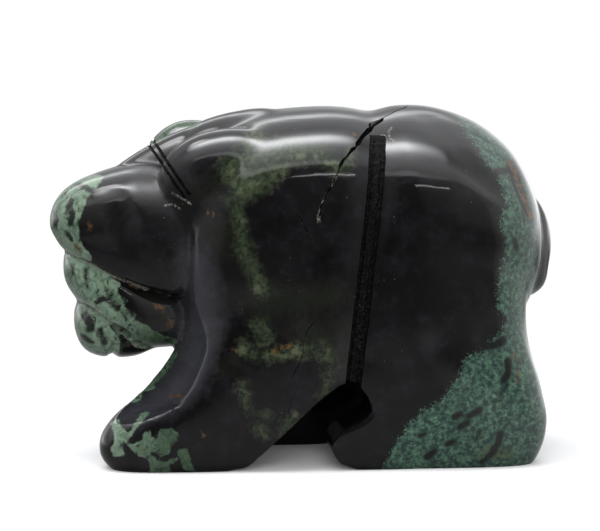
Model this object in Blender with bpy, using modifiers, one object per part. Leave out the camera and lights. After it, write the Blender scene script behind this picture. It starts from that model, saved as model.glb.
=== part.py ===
"""A small walking bear, carved and polished from one piece of jasper.

The bear looks along -X and stands on Z = 0, with the middle of its outline over the
origin. Its left side, towards -Y, has the foreleg that steps forward.
The figure is set out on a grid 50 long, 24 wide and 34.5 high, which the three driving
dimensions stretch to the real size.
"""

import math

import bmesh
import bpy
import numpy as np

# Driving dimensions, in metres
LENGTH = 0.0500  # snout to heel
WIDTH = 0.0240  # across the haunches
HEIGHT = 0.0345  # soles to the top of the back

# The grid that the figure is set out on, in its own units
GRID = np.array((50.0, 24.0, 34.5))
STRETCH = np.array((LENGTH, WIDTH, HEIGHT)) / GRID

# How finely the masses are fused, and how far the joins between them are polished away
SKIN_SIZE = 0.00028
BODY_POLISH = 0.0020
ENDS_POLISH = 0.0010
WHOLE_POLISH = 0.0004

TRIANGLES = 6800
FLOOR_TRIANGLES = 3000

SIDES = 48  # points around a section
STEPS = 10  # sections between two given ones
SAW_STEPS = 4  # the same along a saw line
REACH = 16.0  # how far a cutter reaches to each side, on the grid

NEAR = -1.0  # towards -Y, the bear's left
FAR = 1.0

# Masses given by upright sections, from front to back:
# x, lowest z, highest z, middle y, half width, squareness
TRUNK = (
    (-12.3, 17.0, 24.0, 0.0, 4.5, 2.4),
    (-11.7, 13.2, 27.4, 0.0, 8.2, 2.5),
    (-10.4, 10.5, 30.0, 0.0, 10.2, 2.6),
    (-8.0, 9.0, 32.2, 0.0, 11.2, 2.7),
    (-4.0, 8.5, 33.9, 0.0, 11.6, 2.8),
    (2.0, 8.0, 34.5, 0.0, 11.5, 2.8),
    (6.5, 10.0, 34.3, 0.0, 11.6, 2.5),
    (9.5, 14.0, 34.6, 0.0, 12.0, 2.1),
    (12.0, 14.0, 34.6, 0.0, 12.0, 2.0),
    (14.5, 14.0, 34.1, 0.0, 11.9, 2.0),
    (17.5, 13.5, 32.9, 0.0, 11.2, 2.0),
    (20.3, 13.0, 30.8, 0.0, 9.8, 2.0),
    (21.9, 14.0, 28.7, 0.0, 8.4, 2.0),
    (23.1, 16.6, 26.1, 0.0, 6.2, 2.0),
    (23.8, 19.6, 23.2, 0.0, 3.0, 2.0),
)
FLANK = (
    (-9.6, 10.5, 20.0, 0.0, 8.0, 3.0),
    (-7.0, 8.0, 23.0, 0.0, 10.9, 4.0),
    (-1.0, 7.0, 24.0, 0.0, 11.6, 5.0),
    (5.0, 6.9, 26.0, 0.0, 11.7, 5.0),
    (12.0, 7.2, 29.0, 0.0, 12.0, 5.0),
    (18.0, 8.6, 28.0, 0.0, 10.9, 4.0),
    (20.6, 11.0, 24.0, 0.0, 8.6, 3.0),
)
NECK_RIDGE = (
    (-20.0, 22.0, 26.0, -0.5, 1.0, 2.0),
    (-18.5, 20.0, 28.4, -0.4, 2.4, 2.0),
    (-16.0, 19.0, 30.2, 0.0, 3.1, 2.0),
    (-13.0, 19.0, 31.8, 0.0, 3.3, 2.0),
    (-10.0, 20.0, 32.9, 0.0, 3.6, 2.0),
    (-7.5, 23.0, 33.3, 0.0, 3.2, 2.0),
    (-5.5, 28.0, 32.8, 0.0, 1.6, 2.0),
)
NAPE = (
    (-14.0, 22.0, 30.6, 0.0, 2.6, 2.0),
    (-12.0, 20.0, 32.0, 0.0, 3.6, 2.0),
    (-10.0, 20.0, 33.1, 0.0, 4.2, 2.0),
    (-7.0, 22.0, 34.0, 0.0, 5.2, 2.0),
    (-3.0, 24.0, 34.4, 0.0, 6.2, 2.0),
    (-1.0, 28.0, 33.0, 0.0, 4.0, 2.0),
)
NEAR_LUMP = (
    (-14.2, 26.0, 28.8, 6.2, 1.0, 2.0),
    (-13.2, 24.0, 30.6, 6.2, 2.2, 2.0),
    (-11.4, 22.0, 32.0, 6.2, 3.2, 2.0),
    (-8.8, 21.0, 32.8, 6.2, 3.7, 2.0),
    (-6.0, 21.0, 32.9, 6.2, 3.6, 2.0),
    (-2.5, 24.0, 32.0, 6.2, 2.4, 2.0),
)
FAR_LUMP = (
    (-15.8, 27.0, 28.6, 6.4, 0.8, 2.0),
    (-14.8, 25.0, 30.5, 6.4, 2.0, 2.0),
    (-12.9, 23.0, 32.3, 6.4, 2.8, 2.0),
    (-10.6, 21.0, 33.0, 6.4, 3.2, 2.0),
    (-7.6, 21.0, 32.5, 6.4, 3.2, 2.0),
    (-3.5, 24.0, 31.6, 6.4, 2.0, 2.0),
)
UPPER_HEAD = (
    (-24.7, 22.9, 24.2, -2.6, 0.6, 2.0),
    (-24.2, 21.9, 25.5, -2.5, 2.2, 2.1),
    (-23.1, 20.3, 26.8, -2.3, 3.7, 2.2),
    (-21.5, 18.4, 27.7, -2.0, 5.0, 2.4),
    (-19.8, 17.2, 28.3, -1.7, 6.2, 2.5),
    (-18.0, 16.2, 28.8, -1.3, 7.2, 2.6),
    (-16.0, 15.2, 29.1, -0.9, 8.0, 2.6),
    (-14.0, 14.6, 29.1, -0.5, 8.6, 2.6),
    (-12.3, 14.4, 28.6, 0.0, 8.9, 2.6),
    (-11.0, 15.5, 27.8, 0.0, 8.4, 2.4),
    (-9.0, 17.0, 27.0, 0.0, 6.0, 2.0),
)
TONGUE = (
    (-23.4, 18.2, 20.2, -2.1, 1.2, 2.0),
    (-22.9, 17.0, 21.2, -2.0, 2.8, 2.2),
    (-21.8, 15.5, 21.3, -1.9, 4.1, 2.4),
    (-20.3, 13.6, 21.0, -1.6, 5.1, 2.6),
    (-18.6, 12.4, 20.0, -1.2, 6.0, 2.7),
    (-16.6, 11.4, 19.0, -0.8, 6.6, 2.7),
    (-14.5, 11.0, 18.0, -0.4, 6.7, 2.6),
    (-12.0, 11.2, 17.5, 0.0, 6.4, 2.5),
    (-10.0, 12.0, 16.0, 0.0, 4.0, 2.0),
)
MOUTH_FLOOR = (
    (-22.2, 13.5, 15.5, -1.6, 0.8, 2.0),
    (-21.4, 12.0, 16.5, -1.5, 2.4, 2.0),
    (-18.0, 11.2, 16.0, -1.0, 3.8, 2.2),
    (-14.0, 11.2, 15.0, -0.2, 4.6, 2.2),
    (-12.0, 11.8, 14.5, 0.0, 4.6, 2.2),
    (-11.0, 12.5, 14.0, 0.0, 3.0, 2.0),
)
JAW = (
    (-22.4, 13.0, 14.8, -1.9, 1.0, 2.0),
    (-21.9, 11.6, 16.0, -1.8, 2.8, 2.2),
    (-21.1, 10.7, 16.4, -1.6, 4.0, 2.4),
    (-19.7, 10.2, 16.4, -1.3, 4.8, 2.5),
    (-18.0, 10.1, 15.0, -1.0, 5.3, 2.5),
    (-16.2, 10.3, 14.0, -0.6, 5.4, 2.5),
    (-14.4, 11.0, 13.5, -0.2, 5.0, 2.4),
    (-12.0, 11.4, 14.0, 0.0, 4.8, 2.2),
    (-10.0, 11.6, 14.0, 0.0, 4.0, 2.0),
)


# Masses given by level sections, from the bottom up:
# z, foremost x, hindmost x, inner y, outer y, squareness
TAIL = (
    (15.4, 21.6, 23.3, -0.5, 0.5, 2.0),
    (16.6, 21.6, 24.5, -1.6, 1.6, 2.0),
    (18.6, 21.6, 24.9, -2.4, 2.4, 2.0),
    (20.8, 21.6, 25.1, -2.7, 2.7, 2.0),
    (23.0, 21.6, 24.8, -2.4, 2.4, 2.0),
    (24.8, 21.6, 24.0, -1.6, 1.6, 2.0),
    (26.0, 21.6, 23.0, -0.6, 0.6, 2.0),
)
STEPPING_FORELEG = (
    (-0.8, -18.0, -5.4, 4.4, 9.6, 2.8),
    (0.0, -19.1, -4.4, 3.7, 10.4, 2.8),
    (1.2, -20.1, -3.4, 3.3, 11.0, 2.8),
    (2.7, -20.2, -2.2, 3.2, 11.3, 2.8),
    (4.0, -19.6, -0.8, 3.2, 11.4, 2.8),
    (5.2, -18.6, 0.6, 3.2, 11.4, 2.8),
    (6.6, -17.0, 2.1, 3.0, 11.4, 2.8),
    (8.0, -15.5, 3.6, 2.5, 11.4, 2.8),
    (10.5, -13.3, 4.8, 1.5, 11.4, 2.8),
    (13.5, -11.8, 5.0, 0.5, 11.4, 2.7),
    (18.0, -10.6, 4.0, 0.0, 11.0, 2.6),
    (23.0, -9.0, 1.0, 0.0, 9.6, 2.4),
)
STANDING_FORELEG = (
    (-0.8, -8.0, 4.6, 4.8, 9.2, 2.6),
    (0.0, -9.4, 5.8, 4.1, 10.2, 2.7),
    (1.2, -10.7, 6.8, 3.6, 10.8, 2.8),
    (2.8, -11.1, 8.2, 3.4, 11.1, 2.8),
    (5.0, -11.0, 9.8, 3.2, 11.3, 2.8),
    (8.0, -11.0, 10.2, 2.5, 11.4, 2.8),
    (12.0, -11.0, 7.4, 1.0, 11.4, 2.7),
    (18.0, -10.4, 4.0, 0.0, 11.0, 2.6),
    (23.0, -9.0, 1.0, 0.0, 9.6, 2.4),
)
HIND_LEG = (
    (-0.8, 5.6, 21.4, 4.4, 9.4, 3.0),
    (0.0, 4.3, 22.4, 3.7, 10.3, 3.0),
    (1.2, 3.4, 23.0, 3.3, 10.9, 3.0),
    (2.4, 3.5, 23.4, 3.2, 11.2, 2.9),
    (3.6, 4.3, 23.6, 3.2, 11.4, 2.8),
    (4.8, 5.8, 23.6, 3.2, 11.6, 2.8),
    (5.8, 6.8, 23.4, 3.0, 11.7, 2.7),
    (7.0, 6.4, 23.1, 2.6, 11.8, 2.7),
    (8.4, 4.8, 22.8, 2.2, 11.9, 2.7),
    (11.0, 3.0, 22.0, 1.0, 11.9, 2.7),
    (14.0, 2.5, 21.6, 0.0, 11.8, 2.6),
    (19.0, 4.0, 21.6, 0.0, 11.2, 2.6),
    (24.0, 7.0, 20.0, 0.0, 9.6, 2.4),
)
NEAR_WEB = (
    (-0.8, -9.0, 13.0, 4.4, 9.8, 5.0),
    (0.0, -9.0, 13.0, 3.7, 10.5, 5.0),
    (1.2, -9.0, 13.0, 3.4, 11.0, 6.0),
    (2.7, -9.0, 13.0, 3.2, 11.3, 7.0),
    (6.0, -9.0, 13.0, 3.2, 11.5, 8.0),
    (9.0, -9.0, 13.0, 2.0, 11.6, 8.0),
    (12.0, -9.0, 13.0, 1.0, 11.6, 6.0),
)
FAR_HIND_SHIFT = 7.6  # how much further back the far hind toe is set than the near one
FAR_HEEL_SHIFT = -0.3

# Lines in the upright plane along the bear, x and z, that saw cuts and grooves follow
MOUTH_LINE = (
    (-26.0, 22.0),
    (-23.7, 21.1),
    (-21.3, 20.1),
    (-19.3, 19.1),
    (-17.2, 18.3),
    (-14.6, 17.4),
    (-12.0, 16.7),
)
LIP_LINE = (
    (-25.0, 16.9),
    (-22.6, 16.2),
    (-20.9, 15.6),
    (-19.8, 14.8),
    (-18.8, 14.1),
    (-17.7, 13.6),
    (-16.8, 12.8),
)
JAW_LINE = (
    (-25.0, 17.0),
    (-22.6, 16.3),
    (-20.9, 15.6),
    (-19.4, 13.9),
    (-17.9, 12.7),
    (-17.0, 11.9),
    (-16.0, 11.3),
    (-14.4, 11.1),
)
CHIN_NOTCH = ((-18.8, 9.5), (-18.7, 11.0), (-18.3, 12.6))
NECK_CUT = ((-16.2, 33.1), (-14.6, 30.9), (-13.1, 28.7), (-11.6, 26.5))
BODY_CUT = ((4.0, 6.6), (4.2, 9.0), (4.7, 13.5), (5.9, 24.0), (6.7, 31.0), (7.3, 36.0))

# The outline of the arch between the near legs, x and z
NEAR_ARCH = (
    (-9.4, -0.6),
    (-7.4, 0.05),
    (-6.4, 0.25),
    (-5.7, 0.6),
    (-5.0, 1.3),
    (-3.3, 2.9),
    (-1.2, 4.9),
    (0.7, 6.7),
    (2.6, 8.0),
    (3.4, 8.35),
    (4.0, 8.3),
    (4.8, 7.9),
    (5.5, 7.0),
    (5.9, 6.0),
    (5.4, 5.2),
    (4.3, 4.55),
    (3.4, 4.0),
    (2.6, 3.3),
    (2.2, 2.6),
    (2.2, 2.0),
    (2.5, 1.3),
    (3.1, 0.6),
    (4.3, 0.1),
    (5.8, -0.6),
)

# The scoop that hollows the stepping foreleg's front:
# z, x and y of the ridge it leaves outside, x and y of the edge it leaves in front
SCOOP = (
    (17.5, -10.4, -12.0, -13.6, -6.2),
    (15.5, -9.8, -11.6, -13.1, -5.8),
    (13.8, -9.6, -11.2, -13.2, -5.4),
    (12.0, -9.7, -10.9, -13.4, -5.0),
    (9.5, -10.7, -10.9, -14.2, -5.0),
    (8.0, -11.5, -10.9, -15.6, -5.0),
    (6.6, -12.8, -10.9, -17.2, -5.2),
    (5.4, -15.0, -11.2, -18.8, -6.4),
    (4.6, -17.2, -11.8, -19.6, -8.6),
)
SCOOP_DIP = 0.5  # depth of the hollow between its two edges

SAWN_AWAY = 9.0  # how much a lobe of the head loses past its saw line
BODY_CHANNEL = 1.6  # widths of the channels
NECK_CHANNEL = 1.0
CHIN_CHANNEL = 0.5
CHIN_DEPTH = 0.5
CHANNEL_FLOOR = (1.0, 0.93, 1.016)  # the bear's form at the floor of the channels, as a share

STONE_COLOUR = (0.012, 0.018, 0.014, 1.0)
STONE_ROUGHNESS = 0.12


def smooth_rows(rows, steps=STEPS):
    """More rows between the given ones, on a Catmull-Rom curve through them."""
    rows = np.array(rows, dtype=float)
    ends = np.vstack((2 * rows[0] - rows[1], rows, 2 * rows[-1] - rows[-2]))
    found = []
    for k in range(len(rows) - 1):
        a, b, c, d = ends[k : k + 4]
        for t in np.arange(steps) / steps:
            bend = (2 * a - 5 * b + 4 * c - d) * t + (3 * b - a - 3 * c + d) * t * t
            found.append(b + 0.5 * t * (c - a + bend))
    found.append(rows[-1])
    return np.array(found)


def rounded(squareness):
    """A superellipse of half width 1: a circle at 2, squarer above."""
    turn = np.arange(SIDES) * math.tau / SIDES
    power = 2.0 / squareness
    across = np.sign(np.cos(turn)) * np.abs(np.cos(turn)) ** power
    up = np.sign(np.sin(turn)) * np.abs(np.sin(turn)) ** power
    return across, up


def upright_ring(row, side):
    x, low, high, middle, half, squareness = row
    across, up = rounded(squareness)
    y = side * (middle + across * half)
    z = (low + high) / 2 + up * (high - low) / 2
    return np.column_stack((np.full(SIDES, x), y, z)) * STRETCH


def level_ring(row, side):
    z, front, back, inner, outer, squareness = row
    across, along = rounded(squareness)
    x = (front + back) / 2 + along * (back - front) / 2
    y = side * ((inner + outer) / 2 + across * (outer - inner) / 2)
    return np.column_stack((x, y, np.full(SIDES, z))) * STRETCH


def new_object(name, form, collection):
    bmesh.ops.recalc_face_normals(form, faces=form.faces)
    mesh = bpy.data.meshes.new(name)
    form.to_mesh(mesh)
    form.free()
    made = bpy.data.objects.new(name, mesh)
    collection.objects.link(made)
    return made


def tube(name, rings, collection):
    """A closed solid through rings of points."""
    form = bmesh.new()
    rings = [[form.verts.new(point) for point in ring] for ring in rings]
    for first, second in zip(rings, rings[1:]):
        for k in range(len(first)):
            after = (k + 1) % len(first)
            form.faces.new((first[k], first[after], second[after], second[k]))
    form.faces.new(rings[0])
    form.faces.new(rings[-1])
    return new_object(name, form, collection)


def mass(name, rows, ring, side, collection):
    return tube(name, [ring(row, side) for row in smooth_rows(rows)], collection)


def applied(source, name, collection):
    """The object with its modifiers worked into a new mesh; the old one is removed."""
    bpy.context.view_layer.update()
    found = source.evaluated_get(bpy.context.evaluated_depsgraph_get())
    mesh = bpy.data.meshes.new_from_object(found)
    bpy.data.objects.remove(source)
    made = bpy.data.objects.new(name, mesh)
    collection.objects.link(made)
    return made


def fused(name, parts, polish, collection):
    """One skin around all the parts, with the joins between them polished."""
    form = bmesh.new()
    for part in parts:
        form.from_mesh(part.data)
        bpy.data.objects.remove(part)
    whole = new_object(name, form, collection)
    skin = whole.modifiers.new("fuse", "REMESH")
    skin.mode = "VOXEL"
    skin.voxel_size = SKIN_SIZE
    rub = whole.modifiers.new("polish", "SMOOTH")
    rub.iterations = round((polish / SKIN_SIZE) ** 2)
    return applied(whole, name, collection)


def hidden(cutter):
    cutter.hide_render = True
    cutter.display_type = "WIRE"
    return cutter


def cut(target, cutter):
    step = target.modifiers.new(cutter.name, "BOOLEAN")
    step.operation = "DIFFERENCE"
    step.solver = "EXACT"
    step.object = cutter


def carved(part, cutters, collection):
    """The part without what the cutters take away; they are used up."""
    for cutter in cutters:
        cut(part, cutter)
    left = applied(part, part.name, collection)
    for cutter in cutters:
        bpy.data.objects.remove(cutter)
    return left


def thinned(solid, triangles):
    step = solid.modifiers.new("facets", "DECIMATE")
    step.ratio = triangles / sum(len(face.vertices) - 2 for face in solid.data.polygons)


def blade(name, line, up, down, collection):
    """A plate across the bear along a line in its upright plane, this far above and below it."""
    line = smooth_rows(line, SAW_STEPS)
    run = np.gradient(line, axis=0)
    run /= np.linalg.norm(run, axis=1)[:, None]
    above = np.column_stack((-run[:, 1], run[:, 0]))
    rings = []
    for (x, z), (dx, dz) in zip(line, above):
        high = (x + dx * up, z + dz * up)
        low = (x - dx * down, z - dz * down)
        near = [(end[0], -REACH, end[1]) for end in (high, low)]
        far = [(end[0], REACH, end[1]) for end in (low, high)]
        rings.append(np.array(near + far) * STRETCH)
    return tube(name, rings, collection)


def scoop(collection):
    """A rounded cutter whose arc runs through the two given edges at each level."""
    turn = np.arange(SIDES) * math.tau / SIDES
    rings = []
    for z, ridge_x, ridge_y, front_x, front_y in smooth_rows(SCOOP):
        chord = np.array((front_x - ridge_x, front_y - ridge_y))
        span = np.linalg.norm(chord)
        radius = span * span / (8 * SCOOP_DIP) + SCOOP_DIP / 2
        outward = np.array((-chord[1], chord[0])) / span
        x, y = np.array((ridge_x, ridge_y)) + chord / 2 + outward * (radius - SCOOP_DIP)
        circle = (x + radius * np.cos(turn), y + radius * np.sin(turn), np.full(SIDES, z))
        rings.append(np.column_stack(circle) * STRETCH)
    return tube("foreleg scoop", rings, collection)


def near_arch(collection):
    """A cutter through the near side only, in the outline of the arch between its legs."""
    line = smooth_rows(NEAR_ARCH, SAW_STEPS)
    rings = []
    for y in (-REACH, 0.0):
        rings.append(np.column_stack((line[:, 0], np.full(len(line), y), line[:, 1])) * STRETCH)
    return tube("near arch", rings, collection)


def ground(collection):
    """What lies below the soles."""
    form = bmesh.new()
    bmesh.ops.create_cube(form, size=2 * LENGTH)
    bmesh.ops.translate(form, vec=(0.0, 0.0, -LENGTH), verts=form.verts)
    return new_object("ground", form, collection)


def channel_floor(bear, collection):
    """The bear drawn in sideways: channels run deep in its flanks and fade out above."""
    form = bmesh.new()
    form.from_mesh(bear.data)
    bmesh.ops.scale(form, vec=CHANNEL_FLOOR, verts=form.verts)
    floor = new_object("channel floor", form, collection)
    thinned(floor, FLOOR_TRIANGLES)
    return floor


def chin_floor():
    """The jaw drawn in by the depth of the notch in its chin."""
    rows = []
    for x, low, high, middle, half, squareness in JAW:
        rows.append((x + CHIN_DEPTH, low + CHIN_DEPTH, high, middle, half - CHIN_DEPTH, squareness))
    return rows


def far_hind_leg():
    """The near hind leg with its toe further back and its heel a little further forward."""
    rows = []
    for z, front, back, inner, outer, squareness in HIND_LEG:
        rows.append((z, front + FAR_HIND_SHIFT, back + FAR_HEEL_SHIFT, inner, outer, squareness))
    return rows


def body(collection):
    """Trunk, legs and shoulder lumps, run into each other."""
    masses = (
        ("trunk", TRUNK, upright_ring, NEAR),
        ("flank", FLANK, upright_ring, NEAR),
        ("nape", NAPE, upright_ring, NEAR),
        ("stepping foreleg", STEPPING_FORELEG, level_ring, NEAR),
        ("standing foreleg", STANDING_FORELEG, level_ring, FAR),
        ("near hind leg", HIND_LEG, level_ring, NEAR),
        ("far hind leg", far_hind_leg(), level_ring, FAR),
        ("near shoulder lump", NEAR_LUMP, upright_ring, NEAR),
        ("far shoulder lump", FAR_LUMP, upright_ring, FAR),
        ("near web", NEAR_WEB, level_ring, NEAR),
    )
    parts = [mass(*given, collection) for given in masses]
    polished = fused("body", parts, BODY_POLISH, collection)
    return carved(polished, [scoop(collection), near_arch(collection)], collection)


def lobe(name, rows, collection):
    """A mass of the head, which keeps firmer edges than the body."""
    return fused(name, [mass(name, rows, upright_ring, FAR, collection)], ENDS_POLISH, collection)


def head(collection):
    """Snout, tongue and jaw, each sawn off along the line where it meets the next."""
    upper = lobe("upper head", UPPER_HEAD, collection)
    tongue = lobe("tongue", TONGUE, collection)
    jaw = lobe("jaw", JAW, collection)
    return [
        carved(upper, [blade("mouth saw", MOUTH_LINE, 0.0, SAWN_AWAY, collection)], collection),
        carved(tongue, [blade("lip saw", LIP_LINE, 0.0, SAWN_AWAY, collection)], collection),
        carved(jaw, [blade("jaw saw", JAW_LINE, SAWN_AWAY, 0.0, collection)], collection),
        lobe("mouth floor", MOUTH_FLOOR, collection),
        lobe("neck ridge", NECK_RIDGE, collection),
    ]


def tail(collection):
    leaf = mass("tail", TAIL, level_ring, FAR, collection)
    return fused("tail", [leaf], ENDS_POLISH, collection)


def stone():
    material = bpy.data.materials.new("polished jasper")
    material.use_nodes = True
    shader = material.node_tree.nodes["Principled BSDF"]
    shader.inputs["Base Color"].default_value = STONE_COLOUR
    shader.inputs["Roughness"].default_value = STONE_ROUGHNESS
    shader.inputs["Metallic"].default_value = 0.0
    return material


def collection_named(name):
    made = bpy.data.collections.new(name)
    bpy.context.scene.collection.children.link(made)
    return made


def main():
    for old in list(bpy.data.objects):
        bpy.data.objects.remove(old)
    carving = collection_named("jasper bear carving")
    cutters = collection_named("cutters")

    bear = fused("bear", [body(carving), *head(carving), tail(carving)], WHOLE_POLISH, carving)
    bear.data.shade_smooth()
    bear.data.materials.append(stone())
    thinned(bear, TRIANGLES)
    cut(bear, hidden(ground(cutters)))

    flanks = hidden(channel_floor(bear, cutters))
    chin = hidden(mass("chin floor", chin_floor(), upright_ring, FAR, cutters))
    for name, line, width, floor in (
        ("body channel", BODY_CUT, BODY_CHANNEL, flanks),
        ("neck channel", NECK_CUT, NECK_CHANNEL, flanks),
        ("chin channel", CHIN_NOTCH, CHIN_CHANNEL, chin),
    ):
        plate = hidden(blade(name, line, width / 2, width / 2, cutters))
        cut(plate, floor)
        cut(bear, plate)


main()
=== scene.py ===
"""A small walking bear carved from one piece of mottled dark green jasper, on a pale floor.

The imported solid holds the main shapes. Here the same masses are set out again under a finer
skin, which the saw cuts, cracks and soft hollows are carved into.
The bear looks along -X and its left side, the near one, is towards -Y. Its grid is 50 long,
24 wide and 34.5 high, which is its size in millimetres.
Marks on the near side are placed by their pixel in the 600 by 531 photograph, and are cast
onto the bear from the photograph's viewpoint.
"""

import math

import bmesh
import bpy
import numpy as np
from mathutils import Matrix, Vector
from mathutils.bvhtree import BVHTree


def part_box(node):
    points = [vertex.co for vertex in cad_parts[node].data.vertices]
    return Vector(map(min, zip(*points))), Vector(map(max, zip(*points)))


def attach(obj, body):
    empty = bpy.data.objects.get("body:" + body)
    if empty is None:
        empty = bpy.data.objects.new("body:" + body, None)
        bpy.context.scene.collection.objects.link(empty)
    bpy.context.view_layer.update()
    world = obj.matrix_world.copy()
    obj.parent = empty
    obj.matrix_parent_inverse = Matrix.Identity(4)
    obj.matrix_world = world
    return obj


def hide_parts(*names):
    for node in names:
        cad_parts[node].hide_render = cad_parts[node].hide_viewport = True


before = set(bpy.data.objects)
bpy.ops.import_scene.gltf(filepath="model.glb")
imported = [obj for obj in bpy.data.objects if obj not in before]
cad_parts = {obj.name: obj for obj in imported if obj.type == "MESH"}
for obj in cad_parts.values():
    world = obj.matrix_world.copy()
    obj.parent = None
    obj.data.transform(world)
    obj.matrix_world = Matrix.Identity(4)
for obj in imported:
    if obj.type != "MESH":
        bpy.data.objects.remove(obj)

# The bear's real size, in metres, and the grid it is set out on
LENGTH = 0.0500
WIDTH = 0.0240
HEIGHT = 0.0345
GRID = np.array((50.0, 24.0, 34.5))
STRETCH = np.array((LENGTH, WIDTH, HEIGHT)) / GRID
MM = 0.001

# How finely the masses are fused, and how far the joins between them are polished away
SKIN_SIZE = 0.00029
BODY_POLISH = 0.0020
ENDS_POLISH = 0.0010
WHOLE_POLISH = 0.0004
SHARP_ANGLE = 40.0  # an edge that turns by more degrees than this stays crisp
CLEARANCE = 0.00001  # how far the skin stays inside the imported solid's box

SIDES = 48  # points around a section
STEPS = 10  # sections between two given ones
CUT_STEPS = 4  # the same along a cutter's line
REACH = 16.0  # how far a cutter reaches to each side, on the grid

NEAR = -1.0  # towards -Y, the bear's left
FAR = 1.0

# The photograph's frame and viewpoint
PHOTO = (600, 531)
FOCAL_PIXELS = 3000.0
VIEW_AZIMUTH = -5.0
VIEW_ELEVATION = 6.45
VIEW_DISTANCE = 0.2973
VIEW_AIM = np.array((0.0, 0.0, 0.01873))
SENSOR = 36.0
PIXELS_PER_MM = FOCAL_PIXELS / VIEW_DISTANCE * MM  # in the middle of the bear
NEAR_PIXELS_PER_MM = 10.4  # at its near side

# Masses given by upright sections, from front to back:
# x, lowest z, highest z, middle y, half width, squareness
TRUNK = (
    (-12.3, 17, 24, 0, 4.5, 2.4),
    (-11.7, 13.2, 27.4, 0, 8.2, 2.5),
    (-10.4, 10.5, 30, 0, 10.2, 2.6),
    (-8, 9, 32.2, 0, 11.2, 2.7),
    (-4, 8.5, 33.9, 0, 11.6, 2.8),
    (2, 8, 34.5, 0, 11.5, 2.8),
    (6.5, 10, 34.3, 0, 11.6, 2.5),
    (9.5, 14, 34.6, 0, 12, 2.1),
    (12, 14, 34.6, 0, 12, 2),
    (14.5, 14, 34.1, 0, 11.9, 2),
    (17.5, 13.5, 32.9, 0, 11.2, 2),
    (20.3, 13, 30.8, 0, 9.8, 2),
    (21.9, 14, 28.7, 0, 8.4, 2),
    (23.1, 16.6, 26.1, 0, 6.2, 2),
    (23.8, 19.6, 23.2, 0, 3, 2),
)
FLANK = (
    (-9.6, 10.5, 20, 0, 8, 3),
    (-7, 8, 23, 0, 10.9, 4),
    (-1, 7, 24, 0, 11.6, 5),
    (5, 6.9, 26, 0, 11.7, 5),
    (12, 7.2, 29, 0, 12, 5),
    (18, 8.6, 28, 0, 10.9, 4),
    (20.6, 11, 24, 0, 8.6, 3),
)
NECK_RIDGE = (
    (-20, 22, 26, -0.5, 1, 2),
    (-18.5, 20, 28.4, -0.4, 2.4, 2),
    (-16, 19, 30.2, 0, 3.1, 2),
    (-13, 19, 31.8, 0, 3.3, 2),
    (-10, 20, 32.9, 0, 3.6, 2),
    (-7.5, 23, 33.3, 0, 3.2, 2),
    (-5.5, 28, 32.8, 0, 1.6, 2),
)
NAPE = (
    (-14, 22, 30.6, 0, 2.6, 2),
    (-12, 20, 32, 0, 3.6, 2),
    (-10, 20, 33.1, 0, 4.2, 2),
    (-7, 22, 34, 0, 5.2, 2),
    (-3, 24, 34.4, 0, 6.2, 2),
    (-1, 28, 33, 0, 4, 2),
)
NEAR_LUMP = (
    (-14.2, 26, 28.8, 6.2, 1, 2),
    (-13.2, 24, 30.6, 6.2, 2.2, 2),
    (-11.4, 22, 32, 6.2, 3.2, 2),
    (-8.8, 21, 32.8, 6.2, 3.7, 2),
    (-6, 21, 32.9, 6.2, 3.6, 2),
    (-2.5, 24, 32, 6.2, 2.4, 2),
)
FAR_LUMP = (
    (-15.8, 27, 28.6, 6.4, 0.8, 2),
    (-14.8, 25, 30.5, 6.4, 2, 2),
    (-12.9, 23, 32.3, 6.4, 2.8, 2),
    (-10.6, 21, 33, 6.4, 3.2, 2),
    (-7.6, 21, 32.5, 6.4, 3.2, 2),
    (-3.5, 24, 31.6, 6.4, 2, 2),
)
UPPER_HEAD = (
    (-24.7, 22.9, 24.2, -2.6, 0.6, 2),
    (-24.2, 21.9, 25.5, -2.5, 2.2, 2.1),
    (-23.1, 20.3, 26.8, -2.3, 3.7, 2.2),
    (-21.5, 18.4, 27.7, -2, 5, 2.4),
    (-19.8, 17.2, 28.3, -1.7, 6.2, 2.5),
    (-18, 16.2, 28.8, -1.3, 7.2, 2.6),
    (-16, 15.2, 29.1, -0.9, 8, 2.6),
    (-14, 14.6, 29.1, -0.5, 8.6, 2.6),
    (-12.3, 14.4, 28.6, 0, 8.9, 2.6),
    (-11, 15.5, 27.8, 0, 8.4, 2.4),
    (-9, 17, 27, 0, 6, 2),
)
TONGUE = (
    (-23.4, 18.2, 20.2, -2.1, 1.2, 2),
    (-22.9, 17, 21.2, -2, 2.8, 2.2),
    (-21.8, 15.5, 21.3, -1.9, 4.1, 2.4),
    (-20.3, 13.6, 21, -1.6, 5.1, 2.6),
    (-18.6, 12.4, 20, -1.2, 6, 2.7),
    (-16.6, 11.4, 19, -0.8, 6.6, 2.7),
    (-14.5, 11, 18, -0.4, 6.7, 2.6),
    (-12, 11.2, 17.5, 0, 6.4, 2.5),
    (-10, 12, 16, 0, 4, 2),
)
MOUTH_FLOOR = (
    (-22.2, 13.5, 15.5, -1.6, 0.8, 2),
    (-21.4, 12, 16.5, -1.5, 2.4, 2),
    (-18, 11.2, 16, -1, 3.8, 2.2),
    (-14, 11.2, 15, -0.2, 4.6, 2.2),
    (-12, 11.8, 14.5, 0, 4.6, 2.2),
    (-11, 12.5, 14, 0, 3, 2),
)
JAW = (
    (-22.4, 13, 14.8, -1.9, 1, 2),
    (-21.9, 11.6, 16, -1.8, 2.8, 2.2),
    (-21.1, 10.7, 16.4, -1.6, 4, 2.4),
    (-19.7, 10.2, 16.4, -1.3, 4.8, 2.5),
    (-18, 10.1, 15, -1, 5.3, 2.5),
    (-16.2, 10.3, 14, -0.6, 5.4, 2.5),
    (-14.4, 11, 13.5, -0.2, 5, 2.4),
    (-12, 11.4, 14, 0, 4.8, 2.2),
    (-10, 11.6, 14, 0, 4, 2),
)

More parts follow.
